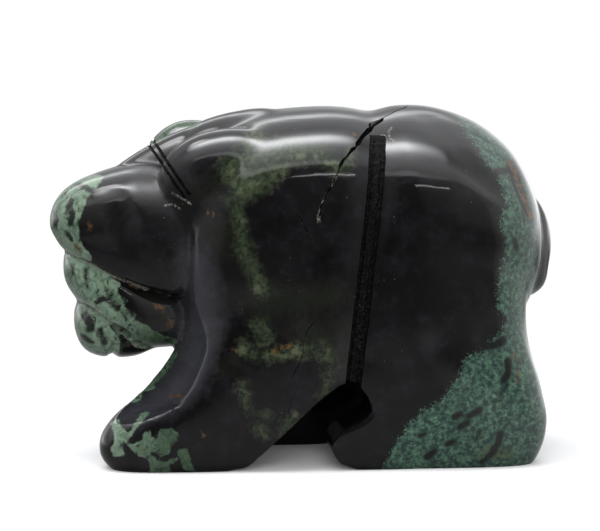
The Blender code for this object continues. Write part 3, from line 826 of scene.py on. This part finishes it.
def near_arch():
    """A cutter through the near side only, in the outline of the arch between its legs."""
    line = smooth_rows(NEAR_ARCH, CUT_STEPS)
    return tube("near arch", [
        np.column_stack((line[:, 0], np.full(len(line), y), line[:, 1])) * STRETCH
        for y in (-REACH, 0.0)
    ])


def ground():
    """What lies below the soles."""
    form = bmesh.new()
    bmesh.ops.create_cube(form, size=2 * LENGTH)
    bmesh.ops.translate(form, vec=(0.0, 0.0, -LENGTH), verts=form.verts)
    return new_object("ground", form)


def far_hind_leg():
    """The near hind leg with its toe further back and its heel a little further forward."""
    rows = []
    for z, front, back, inner, outer, squareness in HIND_LEG:
        rows.append((z, front + FAR_HIND_SHIFT, back + FAR_HEEL_SHIFT, inner, outer, squareness))
    return rows


def body():
    """Trunk, legs and shoulder lumps, run into each other."""
    masses = (
        ("trunk", TRUNK, upright_ring, NEAR),
        ("flank", FLANK, upright_ring, NEAR),
        ("nape", NAPE, upright_ring, NEAR),
        ("stepping foreleg", STEPPING_FORELEG, level_ring, NEAR),
        ("standing foreleg", STANDING_FORELEG, level_ring, FAR),
        ("near hind leg", HIND_LEG, level_ring, NEAR),
        ("far hind leg", far_hind_leg(), level_ring, FAR),
        ("near shoulder lump", NEAR_LUMP, upright_ring, NEAR),
        ("far shoulder lump", FAR_LUMP, upright_ring, FAR),
        ("near web", NEAR_WEB, level_ring, NEAR),
    )
    polished = fused("body", [mass(*given) for given in masses], BODY_POLISH)
    return carved(polished, [scoop(), near_arch()])


def lobe(name, rows):
    """A mass of the head, which keeps firmer edges than the body."""
    return fused(name, [mass(name, rows, upright_ring, FAR)], ENDS_POLISH)


def head():
    """Snout, tongue and jaw, each sawn off along the line where it meets the next."""
    return [
        carved(lobe("upper head", UPPER_HEAD), [blade("mouth saw", MOUTH_LINE, 0.0, SAWN_AWAY)]),
        carved(lobe("tongue", TONGUE), [blade("lip saw", LIP_LINE, 0.0, SAWN_AWAY)]),
        carved(lobe("jaw", JAW), [blade("jaw saw", JAW_LINE, SAWN_AWAY, 0.0)]),
        lobe("mouth floor", MOUTH_FLOOR),
        lobe("neck ridge", NECK_RIDGE),
    ]


def tail():
    return fused("tail", [mass("tail", TAIL, level_ring, FAR)], ENDS_POLISH)


def points_of(mesh):
    points = np.empty(len(mesh.vertices) * 3)
    mesh.vertices.foreach_get("co", points)
    return points.reshape(-1, 3)


def normals_of(mesh):
    normals = np.empty(len(mesh.vertices) * 3)
    mesh.vertex_normals.foreach_get("vector", normals)
    return normals.reshape(-1, 3)


def put_points(mesh, points):
    mesh.vertices.foreach_set("co", points.astype(np.float32).ravel())
    mesh.update()


def figure():
    """The whole bear under its fine skin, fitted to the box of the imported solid."""
    bear = fused("bear_stone", [body(), *head(), tail()], WHOLE_POLISH)
    points = points_of(bear.data)
    low, high = (np.array(corner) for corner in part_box("bear"))
    own_low, own_high = points.min(axis=0), points.max(axis=0)
    own_low[2] = low[2]
    inside_low, inside_high = low + CLEARANCE, high - CLEARANCE
    inside_low[2] = low[2]
    share = (points - own_low) / (own_high - own_low)
    put_points(bear.data, inside_low + share * (inside_high - inside_low))
    return bear


def viewpoint():
    """The photograph's eye, and its directions right, up and back."""
    a, e = math.radians(VIEW_AZIMUTH), math.radians(VIEW_ELEVATION)
    back = np.array((math.sin(a) * math.cos(e), -math.cos(a) * math.cos(e), math.sin(e)))
    right = np.array((math.cos(a), math.sin(a), 0.0))
    return VIEW_AIM + back * VIEW_DISTANCE, right, np.cross(back, right), back


def pixels_of(points):
    """Where points show in the photograph."""
    eye, right, up, back = viewpoint()
    away = points - eye
    depth = -(away @ back)
    across = PHOTO[0] / 2 + FOCAL_PIXELS * (away @ right) / depth
    down = PHOTO[1] / 2 - FOCAL_PIXELS * (away @ up) / depth
    return np.column_stack((across, down))


def cast(tree, pixels):
    """Places and normals on the bear behind pixels of the photograph; misses are left out."""
    eye, right, up, back = viewpoint()
    places, normals = [], []
    for across, down in pixels:
        ray = right * (across - PHOTO[0] / 2) - up * (down - PHOTO[1] / 2) - back * FOCAL_PIXELS
        place, normal, _, _ = tree.ray_cast(Vector(eye), Vector(ray).normalized())
        if place is not None:
            places.append(place)
            normals.append(normal)
    return np.array(places), np.array(normals)


def distance_to(points, line):
    """How far each point is from a line through the given places."""
    found = np.full(len(points), np.inf)
    for a, b in zip(line, line[1:]):
        run = b - a
        share = np.clip((points - a) @ run / max(run @ run, 1e-20), 0.0, 1.0)
        found = np.minimum(found, np.linalg.norm(points - a - share[:, None] * run, axis=1))
    return found


def inside(points, outline):
    """Which flat points lie inside a closed outline."""
    found = np.zeros(len(points), dtype=bool)
    for (ax, ay), (bx, by) in zip(outline, np.roll(outline, -1, axis=0)):
        crosses = (ay > points[:, 1]) != (by > points[:, 1])
        x = ax + (points[:, 1] - ay) * (bx - ax) / (by - ay if by != ay else 1e-9)
        found ^= crosses & (points[:, 0] < x)
    return found


def tree_of(mesh):
    faces = [tuple(face.vertices) for face in mesh.polygons]
    return BVHTree.FromPolygons([vertex.co for vertex in mesh.vertices], faces)


def bell(distance, width):
    """1 on the spot, and less with the distance, by this width in millimetres."""
    return np.exp(-((distance / (width * MM)) ** 2))


def from_body_cut(points):
    """How far each point is from the body channel's line, seen from the side."""
    line = evenly(smooth_rows(BODY_CUT, CUT_STEPS), SAW_STEP) * MM
    return distance_to(points[:, (0, 2)], line)


def cheek(points):
    """How far each point is into the head's flattened side, from 0 to 1."""
    outline = np.array(CHEEK_EDGE + CHEEK_REST, dtype=float)
    pixels = pixels_of(points)
    edge = distance_to(pixels, np.array(CHEEK_EDGE, dtype=float)) / PIXELS_PER_MM
    rest = distance_to(pixels, np.array(CHEEK_REST, dtype=float)) / PIXELS_PER_MM
    near = points[:, 1] < CHEEK_NEAR * MM
    both = (1 - np.exp(-edge / CHEEK_STEP)) * (1 - np.exp(-((rest / CHEEK_SLOPE) ** 2)))
    return both * inside(pixels, outline) * near


def hollowed(bear):
    """The soft hollows pressed into the skin."""
    tree = tree_of(bear.data)
    points, normals = points_of(bear.data), normals_of(bear.data)
    sink = CHANNEL_SINK * MM * bell(from_body_cut(points), CHANNEL_ROLL)
    chin = np.array(CHIN_NOTCH) * MM
    sink += CHIN_DEPTH * MM * bell(distance_to(points[:, (0, 2)], chin), CHIN_WIDTH)
    for _, pixels, width, depth in HOLLOWS:
        places, _ = cast(tree, evenly(pixels, HOLLOW_STEP))
        sink += depth * MM * bell(distance_to(points, places), width)
    sink += CHEEK_DEPTH * MM * cheek(points)
    put_points(bear.data, points - normals * sink[:, None])


def rough_copy(bear, name, share, seed):
    """The bear drawn in sideways, with a rough skin: the floor of a saw cut."""
    mesh = bear.data.copy()
    floor = bpy.data.objects.new(name, mesh)
    bpy.context.scene.collection.objects.link(floor)
    points = points_of(mesh) * np.array(share)
    rough = np.random.default_rng(seed).normal(0.0, CUT_ROUGHNESS * MM, len(points))
    put_points(mesh, points + normals_of(mesh) * rough[:, None])
    return floor


def sawn(bear):
    """The channels, each with two deeper strokes of the saw in a rough floor."""
    plates = []
    for seed, (name, line, up, down, share) in enumerate(CHANNELS):
        floor = rough_copy(bear, name + " floor", share, seed)
        plate = blade(name, line, up, down, SAW_WANDER, SAW_STEP, seed)
        plates.append(carved(plate, [floor], "MANIFOLD"))
    return carved(bear, plates, "MANIFOLD")


def wedge(tree, name, pixels, width, depth, seed):
    """A ragged wedge driven into the skin along a crack."""
    chance = np.random.default_rng(seed)
    places, normals = cast(tree, evenly(pixels, NEAR_PIXELS_PER_MM * CRACK_STEP))
    run = np.gradient(places, axis=0)
    run /= np.linalg.norm(run, axis=1)[:, None]
    side = np.cross(run, normals)
    places = places + side * chance.normal(0.0, CRACK_WANDER * MM, len(places))[:, None]
    wide = width * MM / 2 * chance.uniform(*CRACK_WIDE, len(places))
    deep = depth * MM * chance.uniform(*CRACK_DEEP, len(places))
    wide[[0, -1]] *= CRACK_TIP
    rings = []
    for place, normal, across, half, down in zip(places, normals, side, wide, deep):
        top = place + normal * CRACK_ABOVE * MM
        foot = place - normal * down
        open_half, closed_half = across * half * CRACK_TOP, across * half * CRACK_FOOT
        rings.append((top - open_half, top + open_half, foot + closed_half, foot - closed_half))
    return tube(name, rings)


def cracked(bear):
    """The bear with its cracks cut in."""
    tree = tree_of(bear.data)
    wedges = []
    for seed, (name, pixels, width, depth) in enumerate(CRACKS):
        wedges.append(wedge(tree, name, pixels, width, depth, 100 + seed))
    return carved(bear, wedges, "EXACT")


def connected(vertex, left):
    """The vertices that edges join to this one, taken out of those left."""
    found, waiting = {vertex}, [vertex]
    left.discard(vertex)
    while waiting:
        for edge in waiting.pop().link_edges:
            for other in edge.verts:
                if other in left:
                    left.discard(other)
                    found.add(other)
                    waiting.append(other)
    return found


def without_crumbs(mesh):
    """Only the largest joined piece is kept; the saw leaves slivers that hang in the air."""
    form = bmesh.new()
    form.from_mesh(mesh)
    left = set(form.verts)
    pieces = []
    while left:
        pieces.append(connected(next(iter(left)), left))
    pieces.sort(key=len)
    for crumb in pieces[:-1]:
        bmesh.ops.delete(form, geom=list(crumb), context="VERTS")
    form.to_mesh(mesh)
    form.free()


def patch_field(pixels, front, outline, depth):
    """Millimetres inside a closed outline of the photograph, less beyond its depth."""
    outline = np.array(outline, dtype=float)
    ring = np.vstack((outline, outline[:1]))
    edge = distance_to(pixels, ring) / PIXELS_PER_MM
    field = np.where(inside(pixels, outline), edge, -edge)
    return field - PATCH_FADE * np.maximum(0.0, front - depth)


def vein_field(points, tree, line, half):
    """Millimetres inside a vein that runs through the stone behind a line of pixels."""
    places, _ = cast(tree, evenly(line, VEIN_STEP))
    if not len(places):
        return np.full(len(points), -FIELD_RANGE)
    return half / PIXELS_PER_MM - distance_to(points, places) / MM * VEIN_FADE


def most(points, fields):
    """The furthest inside of all the fields, and outside where there is none."""
    found = np.full(len(points), -FIELD_RANGE)
    for field in fields:
        found = np.maximum(found, field)
    return found


def far_field(points):
    """Millimetres inside the far side's blobs, whose outlines are bent out of round."""
    bent = points / MM
    for size, wave in FAR_BENDS:
        bent = bent + size * np.sin(bent[:, (1, 2, 0)] / wave + np.array(FAR_PHASES))
    return most(points, [radius - np.linalg.norm(bent - np.array(place), axis=1)
                         for _, place, radius in FAR_BLOBS])


def sawn_field(points, skin):
    """Where the saw left the stone rough: in the body channel, and below the polished skin."""
    depth = np.array([skin.find_nearest(Vector(point))[3] for point in points]) / MM
    low = points[:, 2] < CHANNEL_TOP * MM
    channel = (from_body_cut(points) < CHANNEL_HALF * MM) & low
    return np.where(channel, FIELD_RANGE, depth * SAWN_STEEP - 1.0)


def painted(bear, skin):
    """The stone's pattern as fields over the surface: half way is the edge of a patch."""
    mesh = bear.data
    points = points_of(mesh)
    pixels = pixels_of(points)
    front = -(points @ viewpoint()[3]) / MM + PATCH_FRONT
    fields = {}
    for name in dict.fromkeys((*PATCHES, *VEINS)):
        patches = [patch_field(pixels, front, outline, depth)
                   for _, outline, depth in PATCHES.get(name, ())]
        veins = [vein_field(points, skin, line, half) for _, line, half in VEINS.get(name, ())]
        fields[name] = most(points, patches + veins)
    fields["green"] = np.maximum(fields["green"], far_field(points))
    fields["sawn"] = sawn_field(points, skin)
    for name, field in fields.items():
        layer = mesh.attributes.new(name, "FLOAT", "POINT")
        shown = np.clip(field / FIELD_RANGE, -1.0, 1.0) / 2 + 0.5
        layer.data.foreach_set("value", shown.astype(np.float32))


def nodes_of(owner):
    """The node tree of a material or world, emptied."""
    tree = owner.node_tree
    tree.nodes.clear()
    return tree


def node(tree, kind, values=(), **settings):
    """A node with its settings and its inputs: a number or colour, or a socket to join."""
    made = tree.nodes.new(kind)
    for name, value in settings.items():
        setattr(made, name, value)
    for name, value in dict(values).items():
        if isinstance(value, bpy.types.NodeSocket):
            tree.links.new(value, made.inputs[name])
        else:
            made.inputs[name].default_value = value
    return made


def math_node(tree, operation, *values):
    return node(tree, "ShaderNodeMath", enumerate(values), operation=operation).outputs[0]


def spread(tree, value, low, high, out_low=0.0, out_high=1.0):
    """The value between two limits, stretched over the given range."""
    inputs = {"Value": value, "From Min": low, "From Max": high,
              "To Min": out_low, "To Max": out_high}
    return node(tree, "ShaderNodeMapRange", inputs, clamp=True).outputs[0]


def noise(tree, place, scale, detail, roughness, distortion):
    inputs = {"Vector": place, "Scale": scale, "Detail": detail, "Roughness": roughness,
              "Distortion": distortion}
    return node(tree, "ShaderNodeTexNoise", inputs).outputs["Fac"]


def mixed(tree, share, first, second):
    """From the first to the second by this share; each is a colour or a socket."""
    made = node(tree, "ShaderNodeMix", data_type="RGBA")
    for place, value in ((0, share), (6, first), (7, second)):
        if isinstance(value, tuple):
            made.inputs[place].default_value = colour(*value)
        else:
            tree.links.new(value, made.inputs[place])
    return made.outputs[2]


def colour(red, green, blue):
    """A colour given as it shows on a screen, from 0 to 255."""
    shares = (channel / 255 for channel in (red, green, blue))
    return (*(s / 12.92 if s < 0.04045 else ((s + 0.055) / 1.055) ** 2.4 for s in shares), 1.0)


class Weave:
    """The stone's noises, and the masks and layers of colour that are made with them."""

    def __init__(self, tree):
        self.tree = tree
        place = node(tree, "ShaderNodeTexCoord").outputs["Object"]
        millimetres = {"Vector": place, "Scale": (1 / MM, 1 / MM, 1 / MM)}
        self.place = node(tree, "ShaderNodeMapping", millimetres).outputs[0]
        self.noises = {name: noise(tree, self.place, *given) for name, given in NOISES.items()}

    def field(self, name):
        return node(self.tree, "ShaderNodeAttribute", attribute_name=name).outputs["Fac"]

    def part(self, name, low, high, *span):
        """Where a noise lies between two limits."""
        return spread(self.tree, self.noises[name], low, high, *span)

    def mask(self, name):
        """Where a field of the pattern is inside, with an edge that wanders and breaks up."""
        wander, grit, soft = EDGES[name]
        found = self.field(name)
        for source, amount in (("wide", wander), ("fine", wander * FINE_WANDER), ("grain", grit)):
            shift = math_node(self.tree, "MULTIPLY_ADD", self.noises[source], amount, -amount / 2)
            found = math_node(self.tree, "ADD", found, shift)
        return spread(self.tree, found, 0.5 - soft, 0.5 + soft)

    def layer(self, under, share, over, strength=1.0):
        return mixed(self.tree, math_node(self.tree, "MULTIPLY", share, strength), under, over)


def black_ground(weave):
    tint = weave.layer(BLACK, weave.part("wide", 0.42, 0.62), PURPLE)
    tint = weave.layer(tint, weave.mask("haze"), HAZE, 0.6)
    tint = weave.layer(tint, weave.mask("slate"), SLATE, 0.9)
    return weave.layer(tint, weave.part("grain", 0.70, 0.74), FLECK, 0.5)


def green_cloud(weave):
    """Crisp mottled green, paler towards the snout, with black blots."""
    tint = weave.layer(GREEN_DARK, weave.part("marbled", 0.36, 0.62), GREEN)
    tint = weave.layer(tint, weave.part("fine", 0.54, 0.66), GREEN_PALE, 0.45)
    along = node(weave.tree, "ShaderNodeSeparateXYZ", {0: weave.place}).outputs["X"]
    forward = spread(weave.tree, along, *HEAD_FADE)
    paler = math_node(weave.tree, "MULTIPLY", forward, weave.part("marbled", 0.38, 0.60, 0.35, 1.0))
    tint = weave.layer(tint, paler, GREEN_HEAD, 0.85)
    return weave.layer(tint, weave.part("blots", 0.41, 0.35), GREEN_BLACK, 0.85)


def grainy_cloud(weave):
    """Dark green with lighter grains, as on the haunch."""
    tint = weave.layer(GRAINY_DARK, weave.part("fine", 0.42, 0.60), GRAINY)
    tint = weave.layer(tint, weave.part("marbled", 0.50, 0.40), GRAINY_DARK, 0.7)
    fine, grain = weave.noises["fine"], weave.noises["grain"]
    crumbs = math_node(weave.tree, "MULTIPLY_ADD", fine, 0.5, grain)
    return weave.layer(tint, spread(weave.tree, crumbs, 0.86, 0.95), GRAINY_PALE, 0.8)


def olive_cloud(weave):
    tint = weave.layer(OLIVE_DARK, weave.part("marbled", 0.38, 0.60), OLIVE)
    tint = weave.layer(tint, weave.part("wide", 0.55, 0.68), OLIVE_PALE, 0.7)
    return weave.layer(tint, weave.part("fine", 0.46, 0.38), GREEN_BLACK, 0.7)


def specks(weave):
    """Single pale grains, each in the middle of a cell, in some of the cells."""
    tree = weave.tree
    inputs = {"Vector": weave.place, "Scale": SPECK_CELLS, "Randomness": 1.0}
    cells = node(tree, "ShaderNodeTexVoronoi", inputs)
    chance = node(tree, "ShaderNodeSeparateColor", {0: cells.outputs["Color"]}).outputs[0]
    near = math_node(tree, "LESS_THAN", cells.outputs["Distance"], SPECK_SIZE)
    return math_node(tree, "MULTIPLY", near, math_node(tree, "GREATER_THAN", chance, SPECK_FEW))


def pattern(weave, sawn):
    """The stone's colour and its painted highlights and shade: each cloud, streak and crumb over what
    lies under it.
    """
    tint = weave.layer(black_ground(weave), weave.mask("grainy"), grainy_cloud(weave))
    tint = weave.layer(tint, weave.mask("olive"), olive_cloud(weave))
    tint = weave.layer(tint, weave.mask("green"), green_cloud(weave))
    # Dark veins of the stone, and a painted shade line along the crease on the rump
    tint = weave.layer(tint, weave.mask("dark"), BLACK, 0.95)
    brown = weave.layer(RUST_DARK, weave.part("fine", 0.42, 0.60), RUST)
    tint = weave.layer(tint, weave.mask("rust"), brown)
    # Chalk in the cracks, and painted highlights along the lips and the head's rear edge, broken into
    # crumbs
    gaps = weave.part("grain", 0.42, 0.50)
    crumbled_chalk_and_highlight = math_node(weave.tree, "MULTIPLY", weave.mask("chalk_and_highlight"), gaps)
    tint = weave.layer(tint, crumbled_chalk_and_highlight, CHALK_AND_HIGHLIGHT, 0.8)
    tint = weave.layer(tint, specks(weave), SPECK, 0.7)
    dust = weave.layer(SAWN_DARK, weave.part("grain", 0.54, 0.64), SAWN_PALE)
    return weave.layer(tint, sawn, dust, 0.85)


def jasper():
    """Black stone with green, olive and rust clouds, polished, and rough where it is sawn."""
    stone = bpy.data.materials.new("polished_jasper")
    stone.use_nodes = True
    tree = nodes_of(stone)
    weave = Weave(tree)
    sawn = spread(tree, weave.field("sawn"), 0.45, 0.55)
    worn = weave.field("worn")
    polish = math_node(tree, "MAXIMUM", spread(tree, worn, *WORN_EDGE, POLISHED, WORN),
                       spread(tree, sawn, 0.0, 1.0, 0.0, SAWN))
    shine = math_node(tree, "MINIMUM", spread(tree, worn, *WORN_EDGE, SPECULAR, WORN_SPECULAR),
                      spread(tree, sawn, 0.0, 1.0, SPECULAR, SAWN_SPECULAR))
    height = math_node(tree, "MULTIPLY", weave.noises["ripple"], RIPPLE)
    ripple = node(tree, "ShaderNodeBump", {"Strength": 1.0, "Distance": 1.0, "Height": height})
    inputs = {"Base Color": pattern(weave, sawn), "Roughness": polish,
              "Specular IOR Level": shine, "Normal": ripple.outputs[0]}
    surface = node(tree, "ShaderNodeBsdfPrincipled", inputs)
    node(tree, "ShaderNodeOutputMaterial", {"Surface": surface.outputs[0]})
    return stone


def paper():
    """A pale sheet with a soft edge, so that the stone shows no line where it ends."""
    material = bpy.data.materials.new("pale_paper")
    material.use_nodes = True
    tree = nodes_of(material)
    place = node(tree, "ShaderNodeTexCoord").outputs["Object"]
    out = node(tree, "ShaderNodeVectorMath", {0: place}, operation="LENGTH").outputs["Value"]
    gone = spread(tree, out, *FLOOR_FADE)
    along = node(tree, "ShaderNodeSeparateXYZ", {0: place}).outputs["X"]
    # A painted darker reflection: the floor turns greyer where the polish reflects it, up to an x
    painted_reflection = math_node(tree, "MULTIPLY", spread(tree, along, *PAINTED_REFLECTION_END),
                         node(tree, "ShaderNodeLightPath").outputs["Is Glossy Ray"])
    sheet = node(tree, "ShaderNodeBsdfDiffuse",
                 {"Color": mixed(tree, painted_reflection, FLOOR_GREY, FLOOR_REFLECTION_PAINTED_GREY)})
    clear = node(tree, "ShaderNodeBsdfTransparent")
    both = node(tree, "ShaderNodeMixShader", {0: gone, 1: sheet.outputs[0], 2: clear.outputs[0]})
    node(tree, "ShaderNodeOutputMaterial", {"Surface": both.outputs[0]})
    return material


def even_light(level):
    """The same light all over, as the screen colour that stands for this share of the brightest."""
    linear = level / BRIGHTEST
    shown = linear * 12.92 if linear < 0.0031308 else 1.055 * linear ** (1 / 2.4) - 0.055
    return (shown * 255,) * 3


def banded(tree, share, bands):
    """Light that changes by its angle over the bear, as a share of the brightest."""
    made = node(tree, "ShaderNodeValToRGB", {"Fac": share})
    ramp = made.color_ramp
    ramp.elements[0].position, ramp.elements[1].position = 0.0, 1.0
    for angle, _ in bands[1:-1]:
        ramp.elements.new(angle / 180)
    for element, (angle, level) in zip(ramp.elements, bands):
        element.position = angle / 180
        grey = level / BRIGHTEST
        element.color = (grey * COOL[0], grey * COOL[1], grey * COOL[2], 1.0)
    return made.outputs[0]


def studio():
    """A white room: two long soft lights over the object, seen as bands in its polish."""
    world = bpy.data.worlds.new("studio")
    bpy.context.scene.world = world
    world.use_nodes = True
    tree = nodes_of(world)
    way = node(tree, "ShaderNodeTexCoord").outputs["Generated"]
    parts = node(tree, "ShaderNodeSeparateXYZ", {0: way}).outputs
    towards = math_node(tree, "MULTIPLY", parts["Y"], -1.0)
    tilt = math_node(tree, "ARCTAN2", math_node(tree, "ABSOLUTE", parts["Z"]), towards)
    share = math_node(tree, "DIVIDE", tilt, math.pi)
    middle, ends = banded(tree, share, BANDS), banded(tree, share, END_BANDS)
    forward = math_node(tree, "MULTIPLY", parts["X"], -1.0)
    past = math_node(tree, "MAXIMUM", spread(tree, parts["X"], *LIGHT_END),
                     spread(tree, forward, *LIGHT_START))
    over = mixed(tree, past, middle, ends)
    aside = node(tree, "ShaderNodeVectorMath", {0: way, 1: GLOW_WAY}, operation="DOT_PRODUCT")
    glow = spread(tree, aside.outputs["Value"], *GLOW_FADE)
    over = mixed(tree, glow, over, even_light(GLOW_LEVEL))
    under = math_node(tree, "MULTIPLY", parts["Z"], -1.0)
    over = mixed(tree, spread(tree, under, *BELOW_FADE), over, even_light(BELOW))
    over = mixed(tree, spread(tree, parts["X"], *RIM_FADE), over, even_light(RIM_LEVEL))
    light = node(tree, "ShaderNodeBackground", {"Color": over, "Strength": BRIGHTEST})
    white = node(tree, "ShaderNodeBackground", {"Color": (1.0, 1.0, 1.0, 1.0), "Strength": 1.0})
    seen = node(tree, "ShaderNodeLightPath").outputs["Is Camera Ray"]
    both = node(tree, "ShaderNodeMixShader", {0: seen, 1: light.outputs[0], 2: white.outputs[0]})
    node(tree, "ShaderNodeOutputWorld", {"Surface": both.outputs[0]})


def lamp(name, place, size, power):
    """A rectangular lamp that points at the bear."""
    light = bpy.data.lights.new(name, "AREA")
    light.shape = "RECTANGLE"
    light.size, light.size_y = size
    light.energy = power
    made = bpy.data.objects.new(name, light)
    bpy.context.scene.collection.objects.link(made)
    made.location = place
    made.rotation_euler = (-Vector(place)).to_track_quat("-Z", "Y").to_euler()
    return made


def floor():
    bpy.ops.mesh.primitive_plane_add(size=FLOOR_SIZE)
    made = bpy.context.object
    made.name = "floor"
    made.data.materials.append(paper())


def camera():
    eye, _, _, back = viewpoint()
    lens = bpy.data.cameras.new("camera")
    lens.sensor_width = SENSOR
    lens.lens = FOCAL_PIXELS / PHOTO[0] * SENSOR
    lens.clip_start, lens.clip_end = 0.01, 50.0
    made = bpy.data.objects.new("camera", lens)
    bpy.context.scene.collection.objects.link(made)
    made.location = Vector(eye)
    made.rotation_euler = Vector(-back).to_track_quat("-Z", "Y").to_euler()
    bpy.context.scene.camera = made


def main():
    bear = figure()
    hollowed(bear)
    smooth_skin = tree_of(bear.data)
    bear = carved(bear, [ground()], "MANIFOLD")
    bear = cracked(bear)
    bear = sawn(bear)
    without_crumbs(bear.data)
    painted(bear, smooth_skin)
    bear.data.polygons.foreach_set("use_smooth", np.ones(len(bear.data.polygons), dtype=bool))
    bear.data.set_sharp_from_angle(angle=math.radians(SHARP_ANGLE))
    bear.data.materials.clear()
    bear.data.materials.append(jasper())
    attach(bear, "root")
    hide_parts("bear")
    studio()
    lamp(*SLIT)
    lamp(*FILL).visible_glossy = False
    floor()
    camera()
    bpy.context.scene.view_settings.view_transform = "Standard"


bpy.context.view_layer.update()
main()
